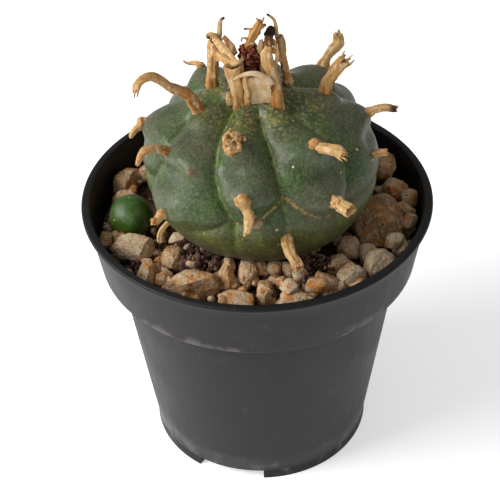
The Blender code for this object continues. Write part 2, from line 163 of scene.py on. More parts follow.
class PottedCactusSettings(bpy.types.PropertyGroup):
    pot: bpy.props.PointerProperty(type=PotSettings)
    stem: bpy.props.PointerProperty(type=StemSettings)
    wool: bpy.props.PointerProperty(type=WoolSettings)
    gravel: bpy.props.PointerProperty(type=GravelSettings)
    stage: bpy.props.PointerProperty(type=StageSettings)


# ---------------------------------------------------------------- noise and meshes

def lattice_noise(points, size, seed):
    """Smooth noise from -1 to 1 with features of a given size, for an array of points."""
    scaled = points / size + 1000.0
    cell = np.floor(scaled).astype(np.int64)
    part = scaled - cell
    fade = part * part * (3.0 - 2.0 * part)
    total = np.zeros(len(points))
    for corner in itertools.product((0, 1), repeat=3):
        at = cell + np.array(corner)
        mixed = at[:, 0] * 73856093 ^ at[:, 1] * 19349663 ^ at[:, 2] * 83492791 ^ (seed * 7919 + 17)
        mixed = (mixed ^ (mixed >> 13)) * 1274126177 & 0xFFFFFFFF
        mixed = (mixed ^ (mixed >> 15)) * 668265263 & 0xFFFFFFFF
        value = (mixed >> 8 & 0xFFFF) / 32767.5 - 1.0
        weight = np.prod(np.where(np.array(corner) == 1, fade, 1.0 - fade), axis=1)
        total += value * weight
    return total


def layered_noise(points, size, seed, layers=3):
    """Several sizes of smooth noise added together."""
    total = np.zeros(len(points))
    for layer in range(layers):
        total += lattice_noise(points, size / 2 ** layer, seed + layer) / 2 ** layer
    return total / (2.0 - 0.5 ** (layers - 1))


def mesh_object(name, points, faces, attributes=None):
    """A smooth-shaded object from arrays of points and faces, with number attributes."""
    mesh = bpy.data.meshes.new(name)
    mesh.from_pydata([tuple(p) for p in points], [], [tuple(int(i) for i in f) for f in faces])
    mesh.update()
    mesh.shade_smooth()
    for key, values in (attributes or {}).items():
        layer = mesh.attributes.new(key, "FLOAT", "POINT")
        layer.data.foreach_set("value", np.asarray(values, np.float32))
    obj = bpy.data.objects.new(name, mesh)
    bpy.context.scene.collection.objects.link(obj)
    return obj


def grid_faces(rings, columns):
    """Quads between closed rings of equal length, numbered ring by ring."""
    faces = []
    for ring in range(rings - 1):
        for column in range(columns):
            after = (column + 1) % columns
            low = ring * columns
            high = low + columns
            faces.append((low + column, low + after, high + after, high + column))
    return faces


class MeshParts:
    """Gathers several closed shapes into one mesh."""

    def __init__(self):
        self.points = []
        self.faces = []
        self.values = {}
        self.total = 0

    def add(self, points, faces, **values):
        self.faces.extend(tuple(i + self.total for i in face) for face in faces)
        self.points.append(np.asarray(points))
        self.total += len(points)
        for key, value in values.items():
            filled = np.broadcast_to(np.asarray(value, float), (len(points),))
            self.values.setdefault(key, []).append(filled)

    def build(self, name):
        merged = {key: np.concatenate(values) for key, values in self.values.items()}
        return mesh_object(name, np.concatenate(self.points), self.faces, merged)


def finish_piece(obj, material, slot, *nodes):
    """Give a piece its material and its place in the frame, and hide the solids it stands for."""
    obj.data.materials.clear()
    obj.data.materials.append(material)
    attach(obj, BODY)
    if nodes:
        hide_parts(*nodes)
    return obj


# ---------------------------------------------------------------- shader groups

def new_group(name, inputs, outputs):
    """An empty shader node group with its sockets; returns the tree and its end nodes."""
    tree = bpy.data.node_groups.new(name, "ShaderNodeTree")
    for label, kind, default in inputs:
        socket = tree.interface.new_socket(name=label, in_out="INPUT", socket_type=kind)
        if default is not None:
            socket.default_value = default
    for label, kind in outputs:
        tree.interface.new_socket(name=label, in_out="OUTPUT", socket_type=kind)
    return tree, tree.nodes.new("NodeGroupInput"), tree.nodes.new("NodeGroupOutput")


def add_math(tree, operation, first, second):
    """A math node; each operand is a socket or a number."""
    node = tree.nodes.new("ShaderNodeMath")
    node.operation = operation
    for index, operand in enumerate((first, second)):
        if isinstance(operand, (int, float)):
            node.inputs[index].default_value = operand
        else:
            tree.links.new(operand, node.inputs[index])
    return node.outputs[0]


def add_range(tree, value, low, high, smooth=True):
    """Remap a value between two limits to 0-1; the limits are sockets or numbers."""
    node = tree.nodes.new("ShaderNodeMapRange")
    node.interpolation_type = "SMOOTHSTEP" if smooth else "LINEAR"
    tree.links.new(value, node.inputs["Value"])
    for label, limit in (("From Min", low), ("From Max", high)):
        if isinstance(limit, (int, float)):
            node.inputs[label].default_value = limit
        else:
            tree.links.new(limit, node.inputs[label])
    return node.outputs["Result"]


def mottle_group():
    """Soft patches: a mask from noise between two thresholds."""
    name = "Mottle"
    if name in bpy.data.node_groups:
        return bpy.data.node_groups[name]
    tree, given, result = new_group(
        name,
        [("Vector", "NodeSocketVector", None), ("Size", "NodeSocketFloat", 0.01),
         ("Low", "NodeSocketFloat", 0.4), ("High", "NodeSocketFloat", 0.6),
         ("Detail", "NodeSocketFloat", 3.0)],
        [("Mask", "NodeSocketFloat")])
    noise = tree.nodes.new("ShaderNodeTexNoise")
    tree.links.new(given.outputs["Vector"], noise.inputs["Vector"])
    tree.links.new(add_math(tree, "DIVIDE", 1.0, given.outputs["Size"]), noise.inputs["Scale"])
    tree.links.new(given.outputs["Detail"], noise.inputs["Detail"])
    mask = add_range(tree, noise.outputs["Fac"], given.outputs["Low"], given.outputs["High"])
    tree.links.new(mask, result.inputs["Mask"])
    return tree


def speckle_group():
    """Small round dots in scattered cells: a mask."""
    name = "Speckle"
    if name in bpy.data.node_groups:
        return bpy.data.node_groups[name]
    tree, given, result = new_group(
        name,
        [("Vector", "NodeSocketVector", None), ("Spacing", "NodeSocketFloat", 0.003),
         ("Radius", "NodeSocketFloat", 0.12), ("Share", "NodeSocketFloat", 0.3)],
        [("Mask", "NodeSocketFloat")])
    cells = tree.nodes.new("ShaderNodeTexVoronoi")
    tree.links.new(given.outputs["Vector"], cells.inputs["Vector"])
    tree.links.new(add_math(tree, "DIVIDE", 1.0, given.outputs["Spacing"]), cells.inputs["Scale"])
    split = tree.nodes.new("ShaderNodeSeparateColor")
    tree.links.new(cells.outputs["Color"], split.inputs[0])
    dot = add_math(tree, "LESS_THAN", cells.outputs["Distance"], given.outputs["Radius"])
    chosen = add_math(tree, "LESS_THAN", split.outputs[0], given.outputs["Share"])
    tree.links.new(add_math(tree, "MULTIPLY", dot, chosen), result.inputs["Mask"])
    return tree


def grain_group():
    """Fine uneven grain as a bumped normal."""
    name = "Grain"
    if name in bpy.data.node_groups:
        return bpy.data.node_groups[name]
    tree, given, result = new_group(
        name,
        [("Vector", "NodeSocketVector", None), ("Size", "NodeSocketFloat", 0.0005),
         ("Strength", "NodeSocketFloat", 0.3), ("Height", "NodeSocketFloat", 0.0001)],
        [("Normal", "NodeSocketVector")])
    noise = tree.nodes.new("ShaderNodeTexNoise")
    noise.inputs["Detail"].default_value = 4.0
    noise.inputs["Roughness"].default_value = 0.6
    tree.links.new(given.outputs["Vector"], noise.inputs["Vector"])
    tree.links.new(add_math(tree, "DIVIDE", 1.0, given.outputs["Size"]), noise.inputs["Scale"])
    bump = tree.nodes.new("ShaderNodeBump")
    tree.links.new(noise.outputs["Fac"], bump.inputs["Height"])
    tree.links.new(given.outputs["Strength"], bump.inputs["Strength"])
    tree.links.new(given.outputs["Height"], bump.inputs["Distance"])
    tree.links.new(bump.outputs["Normal"], result.inputs["Normal"])
    return tree


class Finish:
    """A material under construction: a Principled BSDF and the nodes that feed it."""

    def __init__(self, name, roughness, specular=0.5):
        self.material = bpy.data.materials.new(name)
        self.material.use_nodes = True
        self.tree = self.material.node_tree
        self.shader = self.tree.nodes["Principled BSDF"]
        self.shader.inputs["Roughness"].default_value = roughness
        self.shader.inputs["Specular IOR Level"].default_value = specular
        place = self.tree.nodes.new("ShaderNodeTexCoord")
        self.place = place.outputs["Object"]

    def group(self, tree, output, vector=None, **values):
        node = self.tree.nodes.new("ShaderNodeGroup")
        node.node_tree = tree
        self.tree.links.new(vector or self.place, node.inputs["Vector"])
        for key, value in values.items():
            node.inputs[key].default_value = value
        return node.outputs[output]

    def mottle(self, size, low, high, vector=None, detail=3.0):
        return self.group(mottle_group(), "Mask", vector, Size=size, Low=low, High=high, Detail=detail)

    def speckle(self, spacing, radius, share):
        return self.group(speckle_group(), "Mask", None, Spacing=spacing, Radius=radius, Share=share)

    def attribute(self, name):
        node = self.tree.nodes.new("ShaderNodeAttribute")
        node.attribute_name = name
        return node.outputs["Fac"]

    def math(self, operation, first, second):
        return add_math(self.tree, operation, first, second)

    def range(self, value, low, high, smooth=True):
        return add_range(self.tree, value, low, high, smooth)

    def stretched(self, x, y, z):
        """Coordinates scaled unevenly, for streaks."""
        node = self.tree.nodes.new("ShaderNodeMapping")
        node.inputs["Scale"].default_value = (x, y, z)
        self.tree.links.new(self.place, node.inputs["Vector"])
        return node.outputs[0]

    def mix(self, mask, first, second, blend="MIX"):
        """Blend two colours; each is a socket or a colour, and the mask a socket or number."""
        node = self.tree.nodes.new("ShaderNodeMix")
        node.data_type = "RGBA"
        node.blend_type = blend
        for socket, value in ((node.inputs[0], mask), (node.inputs[6], first), (node.inputs[7], second)):
            if isinstance(value, bpy.types.NodeSocket):
                self.tree.links.new(value, socket)
            elif isinstance(value, (int, float)):
                socket.default_value = value
            else:
                socket.default_value = (*value, 1.0)
        return node.outputs[2]

    def colour(self, socket):
        self.tree.links.new(socket, self.shader.inputs["Base Color"])

    def roughness(self, socket):
        self.tree.links.new(socket, self.shader.inputs["Roughness"])

    def grain(self, size, strength, height, vector=None):
        normal = self.group(
            grain_group(), "Normal", vector, Size=size, Strength=strength, Height=height)
        self.tree.links.new(normal, self.shader.inputs["Normal"])


# ---------------------------------------------------------------- finishes

def plastic_finish(settings):
    """Charcoal moulded plastic: drawn streaks, patchy dust, rubbed lower edges, and painted shade inside
    the pot and on the top of the rim.
    """
    finish = Finish("Charcoal plastic", 0.45, 0.2)
    streaks = finish.mottle(0.0012, 0.3, 0.7, finish.stretched(1.0, 1.0, 0.02))
    clouds = finish.mottle(0.02, 0.35, 0.7)
    base = finish.mix(streaks, settings.colour, [c * 1.12 for c in settings.colour])
    base = finish.mix(finish.math("MULTIPLY", clouds, 0.03), base, settings.scuff)
    dust = finish.math("MULTIPLY", finish.mottle(0.004, 0.62, 0.75), 0.05)
    base = finish.mix(dust, base, settings.scuff)
    worn = finish.math("MULTIPLY", finish.mottle(0.006, 0.50, 0.64), 0.30)
    rubbed = finish.math("MULTIPLY", finish.attribute("rub"), worn)
    base = finish.mix(rubbed, base, settings.scuff)
    # Painted shade: the dark attribute darkens the inside of the pot and the top of the rim to near black.
    base = finish.mix(finish.attribute("dark"), base, srgb(14, 13, 12))
    finish.colour(base)
    gloss = finish.math("ADD", finish.math("MULTIPLY", clouds, 0.12), 0.40)
    finish.roughness(finish.math("ADD", gloss, finish.math("MULTIPLY", streaks, 0.05)))
    finish.grain(0.0009, 0.25, 0.00006, finish.stretched(1.0, 1.0, 0.05))
    return finish.material


def skin_finish(settings):
    """Waxy cactus skin: grey bloom on the bulges, green valleys, pale seams and cork."""
    finish = Finish("Cactus skin", 0.60, 0.42)
    valley = finish.attribute("valley")
    crown = finish.attribute("crown")
    skirt = finish.attribute("skirt")
    bulge = finish.attribute("bulge")
    patches = finish.mottle(0.007, 0.34, 0.66)
    green = finish.math("MULTIPLY", finish.range(valley, 0.18, 0.85), finish.math("ADD", patches, 0.45))
    grown = finish.math("MULTIPLY", finish.mottle(0.012, 0.40, 0.62), 0.75)
    green = finish.range(finish.math("MAXIMUM", green, grown), 0.0, 1.0, smooth=False)
    base = finish.mix(green, settings.bloom, settings.flesh)
    veil = finish.mottle(0.0045, 0.38, 0.66)
    base = finish.mix(finish.math("MULTIPLY", veil, 0.6), base, srgb(44, 54, 26))
    brownish = finish.mottle(0.010, 0.50, 0.70)
    base = finish.mix(finish.math("MULTIPLY", brownish, 0.55), base, srgb(82, 72, 50))
    waxy = finish.math("MULTIPLY", bulge, finish.mottle(0.005, 0.34, 0.62))
    base = finish.mix(finish.math("MULTIPLY", waxy, 0.50), base, srgb(104, 109, 90))
    base = finish.mix(finish.math("MULTIPLY", skirt, 0.70), base, settings.skirt)
    grit = finish.mottle(0.0006, 0.44, 0.66, detail=2.0)
    base = finish.mix(finish.math("MULTIPLY", grit, 0.30), base, srgb(126, 132, 98))
    fine = finish.mottle(0.0009, 0.48, 0.64, detail=2.0)
    base = finish.mix(finish.math("MULTIPLY", fine, 0.40), base, srgb(34, 46, 26))
    sunny = finish.math("MULTIPLY", finish.math("MAXIMUM", crown, skirt), finish.mottle(0.004, 0.46, 0.66))
    base = finish.mix(finish.math("MULTIPLY", sunny, 0.5), base, srgb(96, 104, 34))
    flecks = finish.math("MULTIPLY", crown, finish.mottle(0.0008, 0.54, 0.62, detail=2.0))
    base = finish.mix(finish.math("MULTIPLY", flecks, 0.7), base, settings.cork)
    low_flecks = finish.math("MULTIPLY", skirt, finish.mottle(0.0009, 0.58, 0.66, detail=2.0))
    base = finish.mix(finish.math("MULTIPLY", low_flecks, 0.6), base, settings.cork)
    line = finish.math("MULTIPLY", finish.attribute("seam"), finish.mottle(0.0014, 0.36, 0.58))
    base = finish.mix(finish.math("MULTIPLY", line, 0.75), base, settings.seam)
    scab = finish.math("MULTIPLY", finish.attribute("scab"), finish.mottle(0.0010, 0.40, 0.56))
    base = finish.mix(finish.math("MULTIPLY", scab, 0.9), base, srgb(176, 144, 84))
    scar = finish.math("MULTIPLY", finish.attribute("scar"), finish.mottle(0.0010, 0.36, 0.52))
    base = finish.mix(scar, base, srgb(120, 76, 40))
    specks = finish.speckle(0.0040, 0.075, 0.34)
    base = finish.mix(finish.math("MULTIPLY", specks, 0.85), base, srgb(216, 208, 150))
    finish.colour(base)
    finish.shader.inputs["Sheen Weight"].default_value = 0.04
    finish.shader.inputs["Sheen Roughness"].default_value = 0.5
    finish.roughness(finish.math("ADD", finish.math("MULTIPLY", green, -0.16), 0.54))
    finish.grain(0.0006, 0.5, 0.00014)
    return finish.material


def pup_finish(settings):
    """Fresh green skin with a yellower foot and corky specks."""
    finish = Finish("Offset skin", 0.45, 0.4)
    patches = finish.mottle(0.003, 0.40, 0.66)
    base = finish.mix(finish.math("MULTIPLY", patches, 0.6), settings.pup, srgb(96, 116, 72))
    foot = finish.attribute("foot")
    base = finish.mix(finish.math("MULTIPLY", foot, 0.65), base, srgb(96, 104, 28))
    fine = finish.mottle(0.0007, 0.46, 0.64, detail=2.0)
    base = finish.mix(finish.math("MULTIPLY", fine, 0.35), base, srgb(30, 56, 14))
    cork = finish.math("MULTIPLY", foot, finish.mottle(0.0008, 0.54, 0.60))
    base = finish.mix(finish.math("MULTIPLY", cork, 0.8), base, settings.cork)
    base = finish.mix(finish.math("MULTIPLY", finish.speckle(0.0022, 0.10, 0.4), 0.7), base,
                      srgb(206, 196, 110))
    finish.colour(base)
    finish.grain(0.0007, 0.4, 0.00012)
    return finish.material


def wool_finish(settings):
    """Dried wool and flower tubes: orange roots, cream ends, dark burnt tips, painted shade inside hollow
    ends, fibres.
    """
    finish = Finish("Dried wool", 0.85, 0.25)
    along = finish.attribute("along")
    tone = finish.attribute("tone")
    patches = finish.mottle(0.0016, 0.36, 0.66)
    lifted = finish.math("MULTIPLY", finish.range(along, 0.05, 0.5), 0.55)
    pale = finish.math("ADD", lifted, finish.math("MULTIPLY", patches, 0.45))
    pale = finish.range(finish.math("ADD", pale, tone), 0.0, 1.0, smooth=False)
    base = finish.mix(pale, settings.root, settings.tip)
    fibres = finish.attribute("fibre")
    base = finish.mix(finish.math("MULTIPLY", fibres, 0.55), base, srgb(122, 82, 42))
    stain = finish.mottle(0.0009, 0.56, 0.68)
    base = finish.mix(finish.math("MULTIPLY", stain, 0.45), base, srgb(124, 78, 44))
    bleached = finish.mottle(0.0012, 0.54, 0.66, finish.stretched(1.0, 1.0, 0.5))
    base = finish.mix(finish.math("MULTIPLY", bleached, 0.55), base, srgb(222, 204, 172))
    # The burnt attribute also holds painted shade inside hollow ends.
    base = finish.mix(finish.attribute("burnt"), base, settings.burnt)
    finish.colour(base)
    finish.shader.inputs["Subsurface Weight"].default_value = 0.08
    finish.shader.inputs["Subsurface Radius"].default_value = (0.002, 0.001, 0.0006)
    finish.grain(0.0003, 0.5, 0.00012)
    return finish.material


def paper_finish(settings):
    """Thin cream petals, paler than the wool, with faint veins."""
    finish = Finish("Papery petals", 0.75, 0.3)
    veins = finish.attribute("fibre")
    base = finish.mix(finish.mottle(0.002, 0.40, 0.64), settings.paper, settings.tip)
    base = finish.mix(finish.math("MULTIPLY", veins, 0.35), base, srgb(190, 140, 84))
    base = finish.mix(finish.math("MULTIPLY", finish.mottle(0.0011, 0.60, 0.70), 0.35), base,
                      srgb(176, 120, 74))
    base = finish.mix(finish.attribute("burnt"), base, settings.burnt)
    finish.colour(base)
    finish.shader.inputs["Subsurface Weight"].default_value = 0.15
    finish.shader.inputs["Subsurface Radius"].default_value = (0.002, 0.0012, 0.0008)
    finish.grain(0.0003, 0.4, 0.0001)
    return finish.material


def flower_finish(settings):
    """Crumbly red-brown heart of the dried flower."""
    finish = Finish("Dried flower", 0.9, 0.2)
    crumbs = finish.mottle(0.0008, 0.38, 0.62)
    base = finish.mix(crumbs, settings.burnt, settings.flower)
    base = finish.mix(finish.mottle(0.0006, 0.54, 0.64), base, srgb(170, 112, 92))
    finish.colour(base)
    finish.grain(0.0004, 0.8, 0.0003)
    return finish.material


def stone_finish(settings):
    """Porous worn stone: pale to tan or brown, with rusty stains, dust and dark pits."""
    finish = Finish("Gravel", 0.90, 0.2)
    tone = finish.attribute("tone")
    rusty = finish.attribute("rust")
    base = finish.mix(finish.range(tone, 0.05, 0.60), settings.pale, settings.tan)
    base = finish.mix(finish.range(tone, 0.70, 1.0), base, settings.brown)
    stain = finish.math("ADD", finish.mottle(0.0030, 0.36, 0.70), finish.math("MULTIPLY", rusty, 0.3))
    stain = finish.math("MULTIPLY", finish.range(stain, 0.1, 1.2), finish.math("ADD", rusty, 0.28))
    base = finish.mix(finish.range(stain, 0.0, 0.9, smooth=False), base, settings.rust)
    chalk = finish.mottle(0.0016, 0.44, 0.68)
    base = finish.mix(finish.math("MULTIPLY", chalk, 0.50), base, srgb(214, 200, 176))
    shade = finish.mottle(0.0024, 0.50, 0.72)
    base = finish.mix(finish.math("MULTIPLY", shade, 0.35), base, srgb(128, 90, 56))
    grains = finish.mottle(0.0005, 0.44, 0.64, detail=2.0)
    base = finish.mix(finish.math("MULTIPLY", grains, 0.28), base, srgb(116, 84, 54))
    pits = finish.mottle(0.0007, 0.66, 0.70, detail=1.0)
    base = finish.mix(finish.math("MULTIPLY", pits, 0.75), base, srgb(50, 34, 24))
    finish.colour(base)
    finish.grain(0.0008, 0.9, 0.0004)
    return finish.material


def soil_finish(settings):
    """Damp dark crumbs with purple-brown and sandy grains."""
    finish = Finish("Potting mix", 0.95, 0.2)
    base = finish.mix(finish.mottle(0.002, 0.38, 0.62), settings.soil, srgb(112, 84, 74))
    base = finish.mix(finish.math("MULTIPLY", finish.speckle(0.0009, 0.28, 0.30), 0.8), base,
                      srgb(196, 164, 136))
    finish.colour(base)
    finish.grain(0.0006, 0.9, 0.0004)
    return finish.material


MADE = {}


def finish_for(kind, maker, settings):
    """One material for each kind of finish, made when first asked for."""
    if kind not in MADE:
        MADE[kind] = maker(settings)
    return MADE[kind]


# ---------------------------------------------------------------- pot

LIP_HEIGHT = 1.4 * MM
LIP_OVERHANG = 1.3 * MM
COLLAR_HEIGHT = 17.4 * MM
COLLAR_TAPER = 2.4 * MM
LEDGE = 4.1 * MM
WALL = 1.0 * MM
BASE_RADIUS = 29.5 * MM
FOOT_HEIGHT = 2.5 * MM
FOOT_WIDTH = 2.7 * MM
FLOOR_THICKNESS = 1.2 * MM
FOOT_STEP = 0.35 * MM       # how far a foot stands out past the wall above it
FOOT_COUNT = 3
FOOT_SPAN = 84.0            # degrees
FOOT_START = -90.0          # degrees
DRAIN_COUNT = 6
DRAIN_RADIUS = 3.0 * MM
DRAIN_CIRCLE = 19.0 * MM


def arc(centre_radius, centre_height, size, start, end, steps):
    """Profile points on part of a circle, angles in degrees."""
    points = []
    for i in range(steps + 1):
        turn = math.radians(start + (end - start) * i / steps)
        points.append((centre_radius + size * math.cos(turn), centre_height + size * math.sin(turn)))
    return points


def pot_profile(high):
    """Half section of the pot from its underside round the lip to the floor inside."""
    radius = high[0]
    height = high[2]
    collar_top = radius - LIP_OVERHANG
    collar_low = collar_top - COLLAR_TAPER
    body_top = collar_low - LEDGE
    ledge_height = height - COLLAR_HEIGHT
    lip_round = LIP_HEIGHT / 2
    soft = 0.5 * MM
    points = [(BASE_RADIUS - FOOT_WIDTH, FOOT_HEIGHT), (BASE_RADIUS - 0.3 * MM, FOOT_HEIGHT)]
    points += [(BASE_RADIUS, FOOT_HEIGHT + 0.3 * MM)]
    for i in range(1, 9):
        share = i / 8
        points.append((BASE_RADIUS + (body_top - BASE_RADIUS) * share,
                       FOOT_HEIGHT + 0.3 * MM + (ledge_height - FOOT_HEIGHT - 0.9 * MM) * share))
    points += arc(body_top + soft, ledge_height - soft, soft, 180, 90, 3)
    points += arc(collar_low - soft, ledge_height + soft, soft, -90, 0, 4)
    points += [(collar_low + COLLAR_TAPER * i / 5,
                ledge_height + soft + (COLLAR_HEIGHT - LIP_HEIGHT - 2 * soft) * i / 5)
               for i in range(1, 5)]
    lip_low = height - LIP_HEIGHT
    points += [(collar_top - 0.02 * MM, lip_low - 0.25 * MM), (collar_top + 0.12 * MM, lip_low)]
    points += arc(radius - lip_round, height - lip_round, lip_round, -70, 90, 8)
    points += arc(collar_top - WALL + lip_round, height - lip_round, lip_round, 90, 180, 5)
    points += [(collar_low - WALL + COLLAR_TAPER * i / 4,
                ledge_height + WALL + soft + (COLLAR_HEIGHT - LIP_HEIGHT - WALL) * i / 4)
               for i in (3, 2, 1, 0)]
    points += [(body_top - WALL + soft, ledge_height + WALL)]
    points += [(body_top - WALL, ledge_height + WALL - soft)]
    points += [(BASE_RADIUS - WALL, FOOT_HEIGHT + FLOOR_THICKNESS)]
    return points


def foot_here(bearing):
    return (bearing - FOOT_START) % (360.0 / FOOT_COUNT) < FOOT_SPAN


def build_pot(settings):
    low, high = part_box("pot")
    profile = pot_profile(high)
    count = settings.segments
    bm = bmesh.new()
    rings = []
    for radius, height in profile:
        ring = []
        for i in range(count):
            turn = 2.0 * math.pi * i / count
            ring.append(bm.verts.new((radius * math.cos(turn), radius * math.sin(turn), height)))
        rings.append(ring)
    for first, second in zip(rings, rings[1:]):
        for i in range(count):
            j = (i + 1) % count
            bm.faces.new((first[i], first[j], second[j], second[i]))
    bm.faces.new(list(reversed(rings[0])))
    bm.faces.new(rings[-1])
    bm.normal_update()
    picked = []
    for face in bm.faces:
        centre = face.calc_center_median()
        if len(face.verts) > 4 or centre.z > FOOT_HEIGHT + 0.01 * MM:
            continue
        if foot_here(math.degrees(math.atan2(centre.y, centre.x))):
            picked.append(face)
    made = bmesh.ops.extrude_face_region(bm, geom=picked)
    drawn = [item for item in made["geom"] if isinstance(item, bmesh.types.BMVert)]
    for vert in drawn:
        outward = math.hypot(vert.co.x, vert.co.y)
        if outward > BASE_RADIUS - FOOT_WIDTH / 2:
            grow = (BASE_RADIUS + FOOT_STEP - 0.3 * MM) / outward
            vert.co.x *= grow
            vert.co.y *= grow
        vert.co.z = low[2]
    bmesh.ops.delete(bm, geom=picked, context="FACES_ONLY")
    bmesh.ops.recalc_face_normals(bm, faces=bm.faces)
    mesh = bpy.data.meshes.new("nursery_pot")
    bm.to_mesh(mesh)
    bm.free()
    pot = bpy.data.objects.new("nursery_pot", mesh)
    bpy.context.scene.collection.objects.link(pot)
    drill_pot(pot)
    mark_rubbed_edges_and_painted_shade(pot, high[2])
    pot.data.shade_smooth()
    pot.data.set_sharp_from_angle(angle=math.radians(38))
    edge = pot.modifiers.new("Soft edges", "BEVEL")
    edge.width = settings.edge
    edge.segments = 2
    edge.limit_method = "ANGLE"
    edge.angle_limit = math.radians(50)
    finish_piece(pot, finish_for("plastic", plastic_finish, settings), "pot_plastic", "pot")


def drill_pot(pot):
    """Cut the drain holes and keep the result as the pot's own mesh."""
    bm = bmesh.new()
    for i in range(DRAIN_COUNT):
        turn = 2.0 * math.pi * i / DRAIN_COUNT
        made = bmesh.ops.create_cone(
            bm, cap_ends=True, segments=32, radius1=DRAIN_RADIUS, radius2=DRAIN_RADIUS,
            depth=6.0 * FLOOR_THICKNESS)
        place = (DRAIN_CIRCLE * math.cos(turn), DRAIN_CIRCLE * math.sin(turn), FOOT_HEIGHT)
        bmesh.ops.translate(bm, vec=place, verts=made["verts"])
    drill_mesh = bpy.data.meshes.new("drill")
    bm.to_mesh(drill_mesh)
    bm.free()
    drill = bpy.data.objects.new("drill", drill_mesh)
    bpy.context.scene.collection.objects.link(drill)
    cut = pot.modifiers.new("Drain holes", "BOOLEAN")
    cut.object = drill
    cut.solver = "EXACT"
    bpy.context.view_layer.update()
    shaped = bpy.data.meshes.new_from_object(pot.evaluated_get(bpy.context.evaluated_depsgraph_get()))
    pot.modifiers.remove(cut)
    pot.data = shaped
    bpy.data.objects.remove(drill, do_unlink=True)


def mark_rubbed_edges_and_painted_shade(pot, height):
    """Number attributes: one high where handling has rubbed the plastic pale, and one for painted shade
    inside the pot and on the top of the rim.
    """
    count = len(pot.data.vertices)
    places = np.zeros(count * 3)
    pot.data.vertices.foreach_get("co", places)
    places = places.reshape(-1, 3)
    ledge = height - COLLAR_HEIGHT
    outside = np.hypot(places[:, 0], places[:, 1])
    collar_edge = np.exp(-((places[:, 2] - ledge - 0.5 * MM) / (0.7 * MM)) ** 2)
    collar_edge *= outside > BASE_RADIUS + 9 * MM
    foot_edge = np.exp(-((places[:, 2] - FOOT_HEIGHT) / (0.8 * MM)) ** 2)
    foot_edge *= outside > BASE_RADIUS - 1 * MM
    layer = pot.data.attributes.new("rub", "FLOAT", "POINT")
    layer.data.foreach_set("value", np.clip(collar_edge + foot_edge, 0, 1).astype(np.float32))
    # Painted shade: the dark attribute is high inside the wall and along the top of the rim.
    wall = np.interp(places[:, 2], (FOOT_HEIGHT, ledge, ledge + 1.0 * MM, height),
                     (BASE_RADIUS, BASE_RADIUS + 7.7 * MM, BASE_RADIUS + 11.8 * MM,
                      BASE_RADIUS + 14.2 * MM))
    within = (outside < wall - 0.55 * MM) * (places[:, 2] > FOOT_HEIGHT + 0.1 * MM)
    rim = smooth_step(height - 0.9 * MM, height - 0.3 * MM, places[:, 2])
    layer = pot.data.attributes.new("dark", "FLOAT", "POINT")
    layer.data.foreach_set("value", np.maximum(within * 0.9, rim * 0.5).astype(np.float32))


# ---------------------------------------------------------------- stem

STEM_CENTRE = np.array((1.2, 0.0, 85.7)) * MM
STEM_RADIUS = 30.0 * MM
STEM_HALF_HEIGHT = 22.0 * MM
LOWEST_ANGLE = -62.0
FURROW_DEPTH = 3.3 * MM
FURROW_WIDTH = 3.2 * MM
TUBERCLE_HEIGHT = 2.5 * MM
TUBERCLE_SPREAD = 12.0
TUBERCLE_CHIN = 0.62        # how much sooner a tubercle falls away below its tuft
CROWN_SINK = 1.2 * MM
ROOT_PROFILE = ((9.0, 62.0), (6.8, 58.0), (4.4, 50.0), (2.2, 43.0))
ROOT_TIP = 41.0

# Furrows: (angle above the equator, bearing) in degrees, from the base up to the crown
FURROWS = (
    ((0, -104), (20, -113), (36, -119), (50, -123), (75, -138)),
    ((0, -78), (15, -79), (30, -80), (50, -83), (75, -93)),
    ((0, -49), (18, -39), (34, -34), (50, -38), (75, -41)),
    ((0, 15), (30, 19), (50, 21), (75, 26)),
    ((0, 64), (30, 67), (50, 69), (75, 72)),
    ((0, 108), (30, 110), (50, 111), (75, 110)),
    ((0, 155), (30, 153), (50, 151), (75, 145)),
    ((0, -165), (15, -160), (34, -157), (50, -166), (75, -172)),
)
# Creases where a bulge overlaps the skirt below it: (bearing, angle) in degrees
CREASES = (
    ((-77, 20), (-82, 17), (-87, 13), (-92, 8), (-99, 3), (-106, 1)),
    ((-77, 20), (-74, 15), (-68, 8), (-60, 1), (-52, -3), (-44, 2)),
    ((-108, 2), (-118, -6), (-130, -12), (-142, -10)),
    ((-42, 4), (-28, -2), (-14, -4), (2, -2), (15, 2)),
    ((18, 2), (32, -4), (48, -4), (62, 1)),
    ((66, 1), (80, -5), (96, -4), (106, 1)),
    ((110, 1), (122, -4), (140, -4), (153, 1)),
    ((157, 0), (170, -5), (184, -4), (194, 1)),
)
# Tubercles on the ribs: (bearing, angle above the equator) in degrees
TUBERCLES = (
    (-110, 49), (-56, 43), (47, 42), (92, 45), (128, 42), (1, 33), (-150, 33), (175, 27),
    (-99, 22), (-56, 14), (43, 18), (88, 20), (131, 14), (-138, -1), (1, 56),
    (-162, 56), (-128, 33),
)
# Shallow dips between one tubercle and the next down the same rib
DIPS = ((-106, 36), (-56, 28), (45, 30), (90, 32), (-145, 18), (-8, 26), (130, 28))
SCAR = (-94, 7)
KNOB = (-128, 31)


def smooth_step(low, high, value):
    share = np.clip((value - low) / (high - low), 0.0, 1.0)
    return share * share * (3.0 - 2.0 * share)


def wrapped(turn):
    """Difference of bearings brought between -180 and 180 degrees."""
    return (turn + 180.0) % 360.0 - 180.0


def angle_from(bearing, angle, place):
    """Angle in degrees from arrays of directions to one direction."""
    across = np.radians(wrapped(bearing - place[0]))
    first = np.radians(angle)
    second = math.radians(place[1])
    cosine = np.sin(first) * math.sin(second) + np.cos(first) * math.cos(second) * np.cos(across)
    return np.degrees(np.arccos(np.clip(cosine, -1.0, 1.0)))


def furrow_distance(bearing, angle):
    """Distance along the skin to the nearest furrow."""
    ring = STEM_RADIUS * np.cos(np.radians(angle))
    nearest = np.full(bearing.shape, 1.0)
    for furrow in FURROWS:
        heights = [point[0] for point in furrow]
        bearings = [point[1] for point in furrow]
        line = np.interp(angle, heights, bearings)
        nearest = np.minimum(nearest, np.abs(np.radians(wrapped(bearing - line))) * ring)
    return nearest


